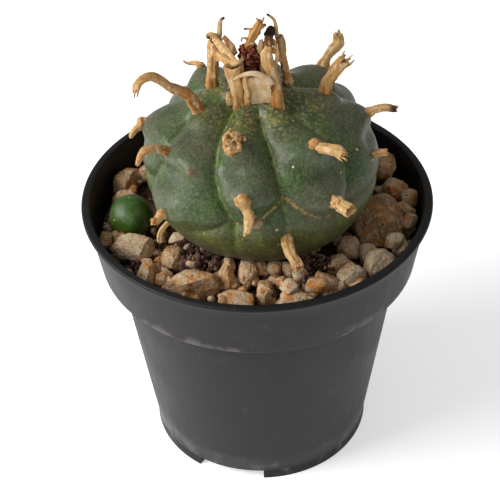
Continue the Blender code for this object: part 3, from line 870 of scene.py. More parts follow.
def line_distance(bearing, angle, line):
    """Distance along the skin to a line given by (bearing, angle) points."""
    nearest = np.full(bearing.shape, 1.0)
    scale = STEM_RADIUS * math.pi / 180.0
    for start, end in zip(line, line[1:]):
        x = wrapped(bearing - start[0]) * np.cos(np.radians(angle))
        y = angle - start[1]
        run_x = wrapped(np.array(end[0] - start[0], float)) * math.cos(math.radians(start[1]))
        run_y = end[1] - start[1]
        share = np.clip((x * run_x + y * run_y) / (run_x ** 2 + run_y ** 2), 0.0, 1.0)
        away = np.hypot(x - share * run_x, y - share * run_y) * scale
        nearest = np.minimum(nearest, away)
    return nearest


def crease_distance(bearing, angle):
    """Distance along the skin to the nearest crease."""
    nearest = np.full(bearing.shape, 1.0)
    for crease in CREASES:
        nearest = np.minimum(nearest, line_distance(bearing, angle, crease))
    return nearest


def stem_skin(bearing, angle):
    """Points of the skin and their finish attributes, for arrays of directions."""
    turn = np.radians(bearing)
    tilt = np.radians(angle)
    outward = np.stack([np.cos(turn) * np.cos(tilt), np.sin(turn) * np.cos(tilt), np.sin(tilt)], axis=-1)
    rib_share = smooth_step(-35.0, 15.0, angle) * (1.0 - smooth_step(68.0, 82.0, angle))
    furrow = furrow_distance(bearing, angle)
    crease = crease_distance(bearing, angle)
    relief = -0.1 * MM - FURROW_DEPTH * rib_share * np.exp(-np.hypot(furrow, 0.3 * MM) / FURROW_WIDTH)
    relief -= 0.35 * MM * rib_share * np.exp(-(furrow / (0.5 * MM)) ** 2)
    low_share = smooth_step(-16.0, -2.0, angle)
    relief -= 1.5 * MM * np.exp(-np.hypot(crease, 0.3 * MM) / (1.8 * MM)) * low_share
    bulge = np.zeros(len(bearing))
    for place in TUBERCLES:
        away = angle_from(bearing, angle, place)
        below = smooth_step(-2.0, 8.0, place[1] - angle)
        spread = TUBERCLE_SPREAD * (1.0 - (1.0 - TUBERCLE_CHIN) * below)
        hump = np.exp(-(away / spread) ** 2)
        bulge = np.maximum(bulge, hump)
        relief += TUBERCLE_HEIGHT * hump * (1.0 - 0.6 * smooth_step(52.0, 62.0, np.array(place[1])))
    for place in DIPS:
        away = angle_from(bearing, angle, place)
        relief -= 1.3 * MM * np.exp(-(away / 7.5) ** 2)
    relief += 0.8 * MM * smooth_step(58.0, 74.0, angle)
    relief -= CROWN_SINK * smooth_step(78.0, 90.0, angle)
    relief += 0.5 * MM * layered_noise(outward, 0.40, 5, 3)
    relief += 0.10 * MM * layered_noise(outward, 0.07, 9, 3)
    scab = np.minimum(line_distance(bearing, angle, CREASES[0]), line_distance(bearing, angle, CREASES[1]))
    scar_away = angle_from(bearing, angle, SCAR)
    relief += 0.35 * MM * np.exp(-((scar_away - 4.0) / 1.2) ** 2)
    relief -= 0.5 * MM * np.exp(-(scar_away / 2.4) ** 2)
    knob_away = angle_from(bearing, angle, KNOB)
    relief += 0.7 * MM * np.exp(-(knob_away / 1.8) ** 2)
    waver = 1.0 + 0.5 * layered_noise(outward, 0.10, 27, 2)
    plain = outward * np.array((STEM_RADIUS, STEM_RADIUS, STEM_HALF_HEIGHT))
    points = STEM_CENTRE + plain + outward * relief[:, None]
    attributes = {
        "valley": np.exp(-furrow / (5.0 * MM)) * rib_share,
        "seam": np.exp(-(furrow / (0.55 * MM * waver)) ** 2) * rib_share,
        "bulge": bulge,
        "scab": np.exp(-(scab / (0.42 * MM * waver)) ** 2),
        "scar": np.maximum(np.exp(-(scar_away / (4.4 * waver)) ** 4),
                           0.7 * np.exp(-(knob_away / 2.2) ** 2)),
        "crown": smooth_step(46.0, 68.0, angle),
        "skirt": 1.0 - smooth_step(-12.0, 8.0, angle),
    }
    return points, attributes


def skin_place(bearing, angle):
    """One point on the skin and its outward direction."""
    step = 1.0
    bearings = np.array([bearing, bearing + step, bearing - step, bearing, bearing])
    angles = np.array([angle, angle, angle, angle + step, angle - step])
    points = stem_skin(bearings.astype(float), angles.astype(float))[0]
    across = points[1] - points[2]
    upward = points[3] - points[4]
    out = np.cross(across, upward)
    return points[0], out / np.linalg.norm(out)


def build_stem(settings):
    columns = settings.columns
    rows = settings.rows
    bearings = np.linspace(-180.0, 180.0, columns, endpoint=False)
    heights = np.linspace(89.0, LOWEST_ANGLE, rows)
    grid_bearing, grid_height = np.meshgrid(bearings, heights)
    points, attributes = stem_skin(grid_bearing.ravel(), grid_height.ravel())
    rings = [points]
    turn = np.radians(bearings)
    for radius, height in ROOT_PROFILE:
        rings.append(np.stack([
            STEM_CENTRE[0] + radius * MM * np.cos(turn), radius * MM * np.sin(turn),
            np.full(columns, height * MM)], axis=-1))
    points = np.concatenate(rings)
    top = stem_skin(np.array([0.0]), np.array([90.0]))[0]
    tip = np.array([[STEM_CENTRE[0], 0.0, ROOT_TIP * MM]])
    total = len(points)
    points = np.concatenate([points, top, tip])
    ring_count = rows + len(ROOT_PROFILE)
    faces = grid_faces(ring_count, columns)
    last = (ring_count - 1) * columns
    for i in range(columns):
        j = (i + 1) % columns
        faces.append((total, j, i))
        faces.append((total + 1, last + i, last + j))
    faces = [tuple(reversed(face)) for face in faces]
    for key in attributes:
        padding = 1.0 if key == "skirt" else 0.0
        attributes[key] = np.concatenate([attributes[key], np.full(len(points) - rows * columns, padding)])
    stem = mesh_object("ribbed_stem", points, faces, attributes)
    finish_piece(stem, finish_for("skin", skin_finish, settings), "stem_skin", "cactus_stem")


def build_pup(settings):
    """The small offset: a smooth ball with faint ribs and a slightly raised crown."""
    low, high = (np.array(corner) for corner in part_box("offset_pup"))
    centre = (low + high) / 2
    radius = (high[0] - low[0]) / 2
    columns, rows = 96, 60
    bearings = np.linspace(-180.0, 180.0, columns, endpoint=False)
    heights = np.linspace(88.0, -88.0, rows)
    bearing, height = (grid.ravel() for grid in np.meshgrid(bearings, heights))
    turn, tilt = np.radians(bearing), np.radians(height)
    outward = np.stack([np.cos(turn) * np.cos(tilt), np.sin(turn) * np.cos(tilt), np.sin(tilt)], axis=-1)
    ribs = 0.022 * np.cos(5 * turn + 0.6) * np.cos(tilt) ** 2
    lumps = 0.05 * layered_noise(outward, 0.9, 21, 3)
    crown = 0.05 * smooth_step(50.0, 90.0, height)
    reach = radius * (0.985 + ribs + lumps + crown)
    points = centre + outward * reach[:, None]
    top = centre + np.array([[0.0, 0.0, radius * 1.0]])
    bottom = centre - np.array([[0.0, 0.0, radius * 0.97]])
    total = len(points)
    faces = grid_faces(rows, columns)
    for i in range(columns):
        j = (i + 1) % columns
        faces.append((total, j, i))
        faces.append((total + 1, total - columns + i, total - columns + j))
    faces = [tuple(reversed(face)) for face in faces]
    foot = 1.0 - smooth_step(-30.0, 25.0, height + 14.0 * np.sin(turn + 2.4))
    foot = np.concatenate([foot, [0.0, 1.0]])
    pup = mesh_object("green_offset", np.concatenate([points, top, bottom]), faces, {"foot": foot})
    finish_piece(pup, finish_for("pup", pup_finish, settings), "pup_skin", "offset_pup")


# ---------------------------------------------------------------- dried tufts and crown

def smooth_path(points, count):
    """Evenly spread points on a smooth curve through a few given ones."""
    given = np.asarray(points, float)
    padded = np.vstack([2 * given[0] - given[1], given, 2 * given[-1] - given[-2]])
    curve = []
    spans = len(given) - 1
    for i in range(count):
        place = i / (count - 1) * spans
        span = min(int(place), spans - 1)
        t = place - span
        a, b, c, d = padded[span:span + 4]
        curve.append(0.5 * (2 * b + (c - a) * t + (2 * a - 5 * b + 4 * c - d) * t ** 2
                            + (3 * b - a - 3 * c + d) * t ** 3))
    return np.array(curve)


def strand(parts, path, widths, flat=1.0, tone=0.0, burnt=0.0, ragged=0.0, hollow=0.0, bow=0.0,
           seed=0, sides=28, rings=30, facing=(0.0, -1.0, 0.3), wrinkle=1.0, lines=0.6, scorched=0.0,
           scorch_tip=0.0):
    """Add one dried tube, ribbon or fibre to a mesh.

    path and widths are in millimetres; flat thins it across, bow curls it like a gutter,
    ragged tears its end, hollow sinks its end cap and paints shade into it, burnt darkens the last stretch,
    scorched darkens all of it and scorch_tip only the torn rim; lines is how clearly
    its fibres show.
    """
    rng = np.random.default_rng(seed)
    centre = smooth_path(path, rings) * MM
    share = np.linspace(0.0, 1.0, rings)
    half = np.interp(share, np.linspace(0.0, 1.0, len(widths)), widths) * MM
    tangent = np.gradient(centre, axis=0)
    tangent /= np.linalg.norm(tangent, axis=1)[:, None]
    side = np.cross(tangent[0], np.asarray(facing, float))
    turn = np.linspace(0.0, 2.0 * math.pi, sides, endpoint=False)
    phases = rng.uniform(0, 2 * math.pi, 4)
    tear = rng.uniform(0.0, 1.0, sides) ** 1.6
    tear = 0.6 * tear + 0.2 * (np.roll(tear, 1) + np.roll(tear, -1))
    points, ridge_values = [], []
    for i in range(rings):
        along = tangent[i]
        side = side - along * side.dot(along)
        side /= np.linalg.norm(side)
        other = np.cross(along, side)
        twist = 0.9 * share[i]
        ridges = (0.07 * np.sin(4 * turn + phases[0] + twist) + 0.05 * np.sin(7 * turn + phases[1] - twist)
                  + 0.04 * np.sin(11 * turn + phases[2] + 2 * twist))
        wave = 0.10 * math.sin(3.5 * math.pi * share[i] + phases[3])
        reach = half[i] * (1.0 + wrinkle * (ridges + wave * np.sin(turn + phases[1])))
        x = np.cos(turn) * reach
        y = np.sin(turn) * reach * flat
        y = y + bow * (x / half[i]) ** 2 * half[i]
        end_pull = max(0.0, (share[i] - 0.72) / 0.28) ** 2
        stretch = ragged * MM * (tear - 0.35) * end_pull
        ring = centre[i] + np.outer(x, side) + np.outer(y, other) + np.outer(stretch, along)
        points.append(ring)
        ridge_values.append(np.clip(-ridges * 9.0, 0.0, 1.0))
    points = np.concatenate(points)
    fuzz = layered_noise(points, 0.0011, seed + 3, 2)
    middle = np.repeat(centre, sides, axis=0)
    lumps = layered_noise(points, 0.0028, seed + 11, 2)
    points = points + (points - middle) * (wrinkle * (0.13 * fuzz + 0.14 * lumps))[:, None]
    faces = grid_faces(rings, sides)
    last = (rings - 1) * sides
    cap_root = len(points)
    inner = points[last:] * 0.55 + (centre[-1] - tangent[-1] * hollow * MM) * 0.45
    inner_start = cap_root + 1
    deep = centre[-1] - tangent[-1] * hollow * MM * 1.6
    points = np.vstack([points, centre[0][None], inner, deep[None]])
    deep_index = len(points) - 1
    for k in range(sides):
        after = (k + 1) % sides
        faces.append((cap_root, after, k))
        faces.append((last + k, last + after, inner_start + after, inner_start + k))
        faces.append((inner_start + k, inner_start + after, deep_index))
    along_values = np.concatenate([np.repeat(share, sides), [0.0], np.full(sides, 0.9), [0.9]])
    # Painted shade: the sunk end cap is darkened according to its hollow depth and added to the burnt
    # attribute.
    hollow_painted_shade = np.concatenate([np.zeros(rings * sides + 1), np.full(sides, 0.35 * min(hollow, 1)),
                                  [0.8 * min(hollow, 1)]])
    burnt_and_painted_shade = burnt * smooth_step(0.66, 0.92, along_values) + hollow_painted_shade + scorched
    burnt_and_painted_shade += scorch_tip * smooth_step(0.90, 0.99, along_values)
    fibre = lines * np.concatenate([np.concatenate(ridge_values), [0.0], np.full(sides, 0.5), [0.5]])
    parts.add(points, faces, along=along_values, burnt=np.clip(burnt_and_painted_shade, 0, 1), fibre=fibre,
              tone=tone)


def fibres_along(parts, path, radius, count, seed, tone=0.1, reach=1.12):
    """Loose thin fibres that cling to a tuft and spread past its end."""
    rng = random.Random(seed)
    base = smooth_path(path, 8)
    ahead = base[-1] - base[-2]
    for n in range(count):
        around = rng.uniform(0, 2 * math.pi)
        start = rng.uniform(0.0, 0.55)
        first = int(start * 7)
        offset = np.array([math.cos(around), math.sin(around) * 0.6, math.sin(around + 1.0)]) * radius
        points = [p + offset * (1.0 + 0.04 * i) for i, p in enumerate(base[first:])]
        jitter = np.array([rng.uniform(-1, 1), rng.uniform(-1, 1), rng.uniform(-1, 1)])
        points.append(points[-1] + ahead * (reach - 1.0) * 2 + jitter * radius * 0.4)
        strand(parts, points[-4:], (0.22, 0.2, 0.08), tone=tone + rng.uniform(-0.1, 0.2),
               seed=seed * 31 + n, sides=6, rings=12, wrinkle=0.3)


# Free-standing tufts. name: where it roots on the skin, its path onward in mm, half widths
# in mm, and how its end looks.
TUFTS = {
    "arched_tuft_left": dict(
        root=(-162, 59), path=((-15.7, -5.9, 109.4), (-17.7, -7.0, 111.5), (-19.9, -8.2, 113.5),
                               (-21.7, -9.1, 115.8), (-23.8, -10.2, 117.9), (-25.8, -11.3, 118.1),
                               (-27.2, -12.0, 116.9), (-27.5, -12.2, 115.7)),
        widths=(1.45, 1.35, 1.15, 1.05, 1.05, 1.0, 0.9, 0.8), ragged=0.9, tone=-0.12, hollow=0.9, tips=3),
    "shoulder_tuft_right": dict(
        root=(1, 59), path=((17.6, 0.3, 108.2), (19.0, 0.2, 110.6), (20.6, 0.0, 112.9),
                            (21.7, -0.1, 114.4)),
        widths=(1.4, 1.4, 1.6, 1.8), ragged=2.6, tone=-0.15, hollow=1.2, flat=0.7, tips=4),
    "shoulder_tuft_front": dict(
        root=(-110, 50), path=((-5.6, -19.0, 105.4), (-5.9, -20.2, 106.2)),
        widths=(1.9, 2.1, 1.8), ragged=1.2, tone=0.05, hollow=0.3, crumbs=36),
    "shoulder_tuft_centre_right": dict(
        root=(-56, 46), path=((14.4, -18.7, 102.7), (16.7, -20.6, 103.3), (18.7, -22.2, 103.8),
                              (20.1, -23.4, 103.3)),
        widths=(1.15, 1.2, 1.2, 1.3, 1.1), ragged=1.4, tone=0.02, hollow=0.6, tips=2),
    "shoulder_tuft_back_right": dict(
        root=(47, 42), path=((18.6, 17.9, 104.0), (19.9, 18.6, 105.9), (21.5, 19.5, 107.6),
                             (21.4, 19.5, 110.0)),
        widths=(1.5, 1.15, 1.2, 1.5, 1.1), ragged=2.0, tone=0.12, hollow=1.0, flat=0.6),
    "shoulder_tuft_back": dict(
        root=(92, 46), path=((0.8, 22.4, 103.6), (0.8, 23.6, 104.2)),
        widths=(1.3, 1.2, 1.0), ragged=0.8, tone=0.0, hollow=0.5),
    "shoulder_tuft_back_left": dict(
        root=(128, 42), path=((-13.3, 18.3, 102.6), (-14.9, 19.6, 102.6), (-16.8, 21.2, 101.4),
                              (-17.9, 22.2, 101.4)),
        widths=(1.0, 1.0, 0.8, 0.4, 0.2), ragged=0.6, tone=-0.05, flat=0.7, burnt=0.7),
    "flank_tuft_right": dict(
        root=(1, 33), path=((29.2, 0.0, 100.1), (31.1, -0.3, 100.6), (33.0, -0.6, 100.8),
                            (34.6, -0.8, 100.7)),
        widths=(1.1, 0.95, 0.95, 1.0, 0.7), ragged=0.9, tone=0.02, burnt=0.95, hollow=0.3),
    "flank_tuft_left": dict(
        root=(-150, 33), path=((-23.4, -14.0, 100.0), (-25.0, -15.1, 100.7), (-26.6, -16.1, 100.7),
                               (-27.7, -16.8, 99.5), (-28.3, -17.2, 97.8)),
        widths=(1.1, 1.05, 1.05, 1.0, 0.8, 0.6), ragged=1.0, tone=-0.2, hollow=0.3),
    "flank_tuft_far_left": dict(
        root=(175, 26), path=((-28.4, 1.7, 96.1), (-29.7, 1.3, 95.3), (-30.8, 1.0, 93.9),
                              (-31.1, 0.9, 93.0)),
        widths=(1.0, 0.95, 0.85, 0.65, 0.4), ragged=0.1, tone=0.1),
    "flank_tuft_front": dict(
        root=(-99, 23), path=((-2.8, -30.2, 93.6), (-2.2, -31.2, 91.9), (-2.4, -32.0, 89.9),
                              (-2.9, -32.4, 88.4)),
        widths=(1.5, 1.1, 1.35, 1.0, 0.8), ragged=0.9, tone=0.08, hollow=0.3),
    "flank_tuft_front_right": dict(
        root=(-56, 14), path=((18.6, -25.6, 91.8), (20.0, -27.2, 91.2), (21.6, -29.0, 91.4)),
        widths=(1.4, 1.3, 1.4, 1.7), ragged=1.8, tone=0.12, hollow=1.0),
    "flank_tuft_far_right": dict(
        root=(-14, 16), path=((31.0, -7.4, 92.4), (32.0, -7.7, 92.6)),
        widths=(0.9, 0.9, 0.9), ragged=0.6, tone=0.05, hollow=0.4),
    "flank_tuft_back_right": dict(
        root=(43, -3), path=((24.8, 22.0, 84.0), (26.2, 23.2, 83.4)),
        widths=(1.3, 1.2, 1.1), ragged=0.8, tone=0.08, hollow=0.5),
    "flank_tuft_back": dict(
        root=(88, 14), path=((2.0, 31.0, 91.2), (1.8, 33.0, 90.6)),
        widths=(1.4, 1.2, 1.2), ragged=1.0, tone=0.0, hollow=0.6),
    "flank_tuft_back_left": dict(
        root=(128, -4), path=((-19.4, 25.2, 83.6), (-20.8, 26.8, 82.8)),
        widths=(1.3, 1.1, 1.0), ragged=0.8, tone=0.05, burnt=0.4),
    "low_tuft_left": dict(
        root=(-138, 1), path=((-22.8, -21.7, 86.4), (-24.0, -22.8, 85.7), (-24.8, -23.4, 85.2)),
        widths=(1.15, 1.25, 1.1, 0.8), ragged=0.7, tone=-0.02, hollow=0.3, crumbs=10),
    "low_tuft_bottom_left": dict(
        root=(-147, -20), path=((-23.8, -15.8, 76.6), (-24.2, -16.1, 75.0), (-24.3, -16.2, 73.6)),
        widths=(0.65, 0.7, 1.0, 0.9), ragged=0.6, tone=0.2),
    "low_tuft_front": dict(
        root=(-79, -10), path=((7.2, -31.8, 81.6), (8.2, -33.2, 80.4), (9.2, -34.4, 79.2)),
        widths=(1.5, 1.35, 1.2, 1.25), ragged=1.2, tone=-0.02, hollow=0.4, burnt=0.2, crumbs=14),
}

# Crown remains in mm. Each node: its strands as (path, half widths, options).
CROWN = {
    "crown_column_left": (
        (((-10.2, 4.9, 104.8), (-10.1, 4.8, 108.6), (-9.9, 4.6, 112.1), (-9.6, 4.6, 115.4),
          (-9.2, 4.6, 118.0)),
         (1.7, 1.45, 1.4, 1.55, 1.65), dict(ragged=1.0, hollow=0.8, tone=-0.05, lines=1.0)),
        (((-9.0, 4.6, 116.6), (-8.2, 4.6, 119.6), (-8.0, 4.6, 121.8), (-7.6, 4.6, 123.7),
          (-6.8, 4.6, 124.4)),
         (0.9, 0.72, 0.58, 0.42, 0.26), dict(flat=0.6, burnt=1.0, tone=0.3, ragged=0.1)),
        (((-8.3, 3.8, 117.6), (-8.7, 3.8, 119.4), (-9.8, 3.8, 120.3), (-10.7, 3.8, 120.1),
          (-10.7, 3.8, 119.2)),
         (1.0, 0.85, 0.65, 0.55, 0.4), dict(flat=0.5, burnt=1.0, tone=0.3)),
        (((-9.6, 3.0, 119.8), (-8.2, 1.2, 119.3), (-6.8, -0.6, 118.4), (-5.4, -2.6, 117.6),
          (-4.4, -4.4, 117.3)),
         (0.7, 0.95, 1.0, 0.9, 0.7), dict(flat=0.25, tone=0.55, ragged=0.6, bow=0.2, lines=1.0)),
        (((-7.2, 1.4, 121.0), (-6.0, 0.4, 120.2), (-5.1, -0.6, 119.2), (-4.2, -1.8, 118.2)),
         (0.6, 0.75, 0.75, 0.6), dict(flat=0.35, tone=-0.75, burnt=0.3, scorched=0.35, ragged=0.6)),
        (((-9.4, 3.2, 115.2), (-8.1, 0.8, 116.3), (-6.6, -2.0, 116.6), (-5.0, -4.8, 116.6)),
         (1.4, 1.35, 1.2, 1.1), dict(flat=0.6, tone=0.0, wrinkle=1.6, lines=1.0)),
    ),
    "crown_column_front": (
        (((-3.4, -5.2, 105.0), (-3.8, -5.7, 108.6), (-4.2, -5.8, 112.3), (-4.7, -5.8, 115.0),
          (-5.0, -5.7, 117.6)),
         (1.9, 1.65, 1.75, 2.0, 2.4), dict(ragged=1.3, hollow=3.0, tone=0.0, lines=1.0, flat=0.8)),
        (((-5.8, -5.8, 106.6), (-6.0, -6.2, 108.4), (-6.5, -6.3, 110.2)),
         (0.9, 0.9, 0.4), dict(flat=0.4, tone=0.5, ragged=0.6)),
        (((-1.5, -6.6, 105.4), (-1.6, -7.0, 109.9), (-1.9, -7.0, 112.7), (-2.3, -6.9, 115.4)),
         (0.75, 0.8, 0.7, 0.55), dict(flat=0.7, tone=-0.1, wrinkle=1.6, lines=1.0)),
        (((-6.2, -3.6, 117.0), (-5.0, -5.0, 117.6), (-3.4, -5.4, 118.2), (-2.6, -4.4, 118.6)),
         (0.8, 0.75, 0.6, 0.35), dict(flat=0.3, tone=0.5, ragged=0.4)),
    ),
    "crown_column_right": (
        (((5.7, -6.4, 104.6), (5.3, -6.2, 108.4), (4.8, -5.4, 111.2), (4.5, -4.8, 113.1),
          (4.1, -4.3, 115.0),
          (3.6, -3.7, 116.9), (3.4, -3.1, 119.0), (3.8, -2.5, 120.4)),
         (1.75, 1.5, 1.4, 1.4, 1.3, 1.15, 0.95, 0.75), dict(ragged=0.8, hollow=0.4, tone=-0.08, lines=1.0)),
        (((3.6, -4.4, 114.6), (2.6, -3.8, 116.6), (2.6, -3.4, 118.8), (3.2, -2.8, 120.6)),
         (0.7, 1.0, 0.95, 0.5), dict(flat=0.3, tone=0.6, ragged=0.5, bow=0.3)),
        (((4.6, -4.0, 115.4), (5.4, -3.4, 117.4), (5.4, -2.8, 119.2), (4.8, -2.2, 120.2)),
         (0.5, 0.5, 0.5, 0.4), dict(flat=0.4, tone=0.45, ragged=0.4)),
        (((4.4, -2.9, 118.9), (4.8, -2.8, 119.9)), (0.5, 0.45), dict(tone=-0.6)),
        (((3.4, -1.2, 118.6), (3.5, -1.0, 120.6), (3.6, -0.8, 122.2)),
         (0.85, 1.0, 0.7), dict(tone=-0.9, burnt=0.3, scorched=0.5, wrinkle=2.4)),
    ),
    "crown_column_back": (
        (((8.2, 2.3, 106.4), (7.9, 2.3, 109.2), (7.5, 2.2, 111.4), (7.1, 2.2, 113.6), (6.9, 2.2, 116.1),
          (6.7, 2.2, 118.4), (6.0, 2.2, 120.2)),
         (1.1, 1.0, 0.95, 0.92, 0.98, 1.1, 1.0), dict(ragged=0.4, hollow=0.2, tone=-0.12, burnt=0.25)),
        (((8.3, 2.0, 106.8), (8.2, 1.9, 108.0), (8.1, 2.0, 109.0)), (1.1, 1.35, 0.8),
         dict(tone=0.45, wrinkle=1.6)),
        (((6.4, 1.2, 113.8), (5.4, 1.3, 116.6), (4.9, 1.3, 119.2), (4.2, 1.4, 120.2)),
         (0.4, 0.5, 0.55, 0.4), dict(flat=0.5, tone=0.6)),
        (((3.8, 1.5, 120.2), (3.9, 1.5, 121.6), (4.3, 1.5, 123.4)),
         (0.7, 1.1, 0.6), dict(burnt=1.0, tone=-0.9, scorched=1.0, wrinkle=1.4)),
        (((5.6, 2.0, 120.4), (5.4, 2.0, 123.0), (5.0, 2.0, 124.8), (4.1, 2.0, 125.9), (3.3, 2.0, 126.5)),
         (0.5, 0.42, 0.34, 0.28, 0.24), dict(burnt=0.95, tone=0.5)),
    ),
    "crown_tuft_behind": (
        (((2.2, 5.0, 105.6), (2.4, 6.2, 108.6), (2.6, 6.4, 111.6), (2.8, 5.8, 114.6)),
         (1.3, 1.1, 1.1, 0.8), dict(ragged=1.0, hollow=0.6, tone=0.0)),
        (((1.6, 5.4, 109.0), (1.2, 4.8, 112.4), (0.8, 4.0, 115.0)),
         (0.8, 0.8, 0.4), dict(flat=0.3, tone=0.3, ragged=0.6)),
    ),
}

# Branching stalk and side petals on the dried flower
FLOWER_STALKS = (
    (((-1.7, 0.0, 117.4), (-1.4, 0.0, 118.8), (-0.8, 0.0, 120.5), (0.2, 0.0, 122.4), (1.1, 0.0, 124.3),
      (1.8, 0.0, 126.0)),
     (0.8, 0.9, 0.85, 0.95, 0.85, 0.7), dict(tone=-0.3, ragged=0.8, wrinkle=2.2, scorch_tip=0.4)),
    (((0.5, -0.2, 123.5), (-0.8, 0.0, 123.8), (-2.2, 0.0, 123.9)), (0.36, 0.28, 0.2), dict(burnt=1.0)),
    (((-1.0, -0.2, 121.0), (-2.0, 0.0, 121.4), (-2.8, 0.0, 121.3), (-2.8, 0.0, 120.5)),
     (0.38, 0.3, 0.24, 0.14), dict(burnt=1.0)),
    (((1.5, 0.0, 124.0), (2.2, 0.0, 124.5), (3.0, 0.0, 124.9)), (0.7, 0.55, 0.3),
     dict(burnt=0.8, tone=-0.2)),
    (((1.4, 0.0, 125.0), (1.1, 0.0, 126.0), (0.8, 0.0, 126.8)), (0.32, 0.24, 0.12), dict(burnt=0.5)),
    (((2.0, 0.0, 125.4), (2.3, 0.0, 126.2), (2.6, 0.0, 126.8)), (0.34, 0.28, 0.14), dict(burnt=0.9)),
    (((0.2, -0.4, 122.2), (1.2, -0.3, 122.6), (1.7, -0.2, 123.2)), (0.4, 0.35, 0.2), dict(burnt=0.6)),
    (((-1.6, -0.5, 119.6), (-0.4, -0.6, 120.2), (0.5, -0.5, 120.1)), (0.45, 0.4, 0.2), dict(burnt=0.8)),
)
FLOWER_PETALS = (
    (((1.6, -1.2, 112.0), (1.9, -1.4, 115.0), (1.6, -0.8, 118.6), (1.8, -0.4, 121.0)),
     (1.0, 1.1, 0.9, 0.4), dict(flat=0.25, tone=0.0, ragged=0.8, burnt=0.2)),
    (((2.6, -1.8, 110.6), (2.4, -2.2, 113.0), (2.3, -1.9, 115.4)),
     (1.1, 1.1, 0.7), dict(flat=0.25, tone=0.0, ragged=0.8)),
    (((0.6, 2.2, 110.0), (0.6, 2.4, 113.6), (0.6, 2.0, 117.0)),
     (1.2, 1.2, 0.6), dict(flat=0.2, tone=0.1, ragged=0.8)),
)


def torn_tips(parts, path, width, count, seed, tone):
    """Short dark-tipped spikes at the torn end of a tuft."""
    rng = random.Random(seed)
    end = np.array(path[-1])
    ahead = end - np.array(path[-2])
    ahead /= np.linalg.norm(ahead)
    side = np.cross(ahead, (0.0, -0.77, 0.64))
    side /= np.linalg.norm(side)
    for n in range(count):
        shift = (2.0 * (n + 0.5) / count - 1.0) * width
        length = rng.uniform(1.0, 2.2)
        start = end - ahead * 0.8 + side * shift * 0.8
        tip = end + ahead * length + side * (shift * 1.3 + rng.uniform(-0.3, 0.3))
        strand(parts, (start, (start + tip) / 2 + side * rng.uniform(-0.2, 0.2), tip), (0.45, 0.3, 0.1),
               tone=tone, burnt=0.9, seed=seed * 13 + n, sides=10, rings=14, wrinkle=0.6)


def end_crumbs(parts, centre, reach, count, seed, tone):
    """Little lumps that make a matted end."""
    rng = random.Random(seed)
    for _ in range(count):
        push = np.array([rng.gauss(0, 0.5), rng.gauss(0, 0.5), rng.gauss(0, 0.5)]) * reach
        lump, faces = crumb(rng.randrange(10000), rng.uniform(0.25, 0.6))
        parts.add((np.asarray(centre) + push) * MM + lump, faces, along=rng.random(), burnt=0.0,
                  fibre=rng.random() * 0.6, tone=tone)


def build_tufts(settings):
    wool = finish_for("wool", wool_finish, settings)
    other = ("root", "path", "widths", "tips", "crumbs")
    for seed, (name, look) in enumerate(TUFTS.items()):
        bearing, angle = look["root"]
        skin, out = skin_place(bearing, angle)
        path = [tuple((skin - out * 0.9 * MM) / MM), tuple((skin + out * 0.6 * MM) / MM)]
        path += list(look["path"])
        widths = (look["widths"][0] * 1.3, look["widths"][0] * 1.1) + tuple(look["widths"])[1:]
        options = {key: look[key] for key in look if key not in other}
        tone = look.get("tone", 0.0)
        parts = MeshParts()
        strand(parts, path, widths, seed=seed + 40, rings=48, sides=36, **options)
        torn_tips(parts, path, widths[-1], look.get("tips", 0), seed + 5, tone)
        end_crumbs(parts, path[-1], widths[-1], look.get("crumbs", 0), seed + 9, tone)
        fibres_along(parts, path, widths[-1] * 0.7, 2, seed + 7, tone + 0.2)
        tuft = parts.build(name + "_wool")
        finish_piece(tuft, wool, "dried_wool", name)


def build_crown(settings):
    wool = finish_for("wool", wool_finish, settings)
    for seed, (name, strands) in enumerate(CROWN.items()):
        parts = MeshParts()
        for n, (path, widths, options) in enumerate(strands):
            strand(parts, path, widths, seed=seed * 10 + n + 100, rings=40, **options)
        finish_piece(parts.build(name + "_wool"), wool, "dried_wool", name)

    paper = finish_for("paper", paper_finish, settings)
    sheet = MeshParts()
    strand(sheet, ((1.6, -5.6, 105.0), (1.3, -6.4, 108.6), (0.9, -6.6, 112.0), (0.6, -6.6, 114.8)),
           (2.5, 2.5, 2.7, 2.9), flat=0.12, bow=-0.22, tone=0.0, ragged=0.4, seed=150, sides=72, rings=44,
           facing=(0.0, -1.0, 0.0), wrinkle=0.8, lines=1.0)
    strand(sheet, ((-5.0, -6.9, 114.4), (-3.4, -7.3, 115.6), (-1.7, -7.5, 116.2), (-0.1, -7.5, 116.2),
                   (1.5, -7.4, 115.6), (3.2, -7.1, 114.4), (4.3, -6.9, 112.8)),
           (0.35, 0.5, 0.62, 0.66, 0.66, 0.62, 0.5), flat=0.55, tone=0.6, seed=151, rings=44, lines=0.2)
    finish_piece(sheet.build("papery_sheet"), paper, "papery_remains", "crown_papery_sheet")

    petals = MeshParts()
    for n, (path, widths, options) in enumerate(FLOWER_PETALS):
        strand(petals, path, widths, seed=n + 170, **options)
    finish_piece(petals.build("flower_petals"), paper, "papery_remains")

    stalks = MeshParts()
    for n, (path, widths, options) in enumerate(FLOWER_STALKS):
        strand(stalks, path, widths, seed=n + 180, **options)
    finish_piece(stalks.build("flower_stalk"), wool, "dried_wool")

    build_flower_heart(settings)


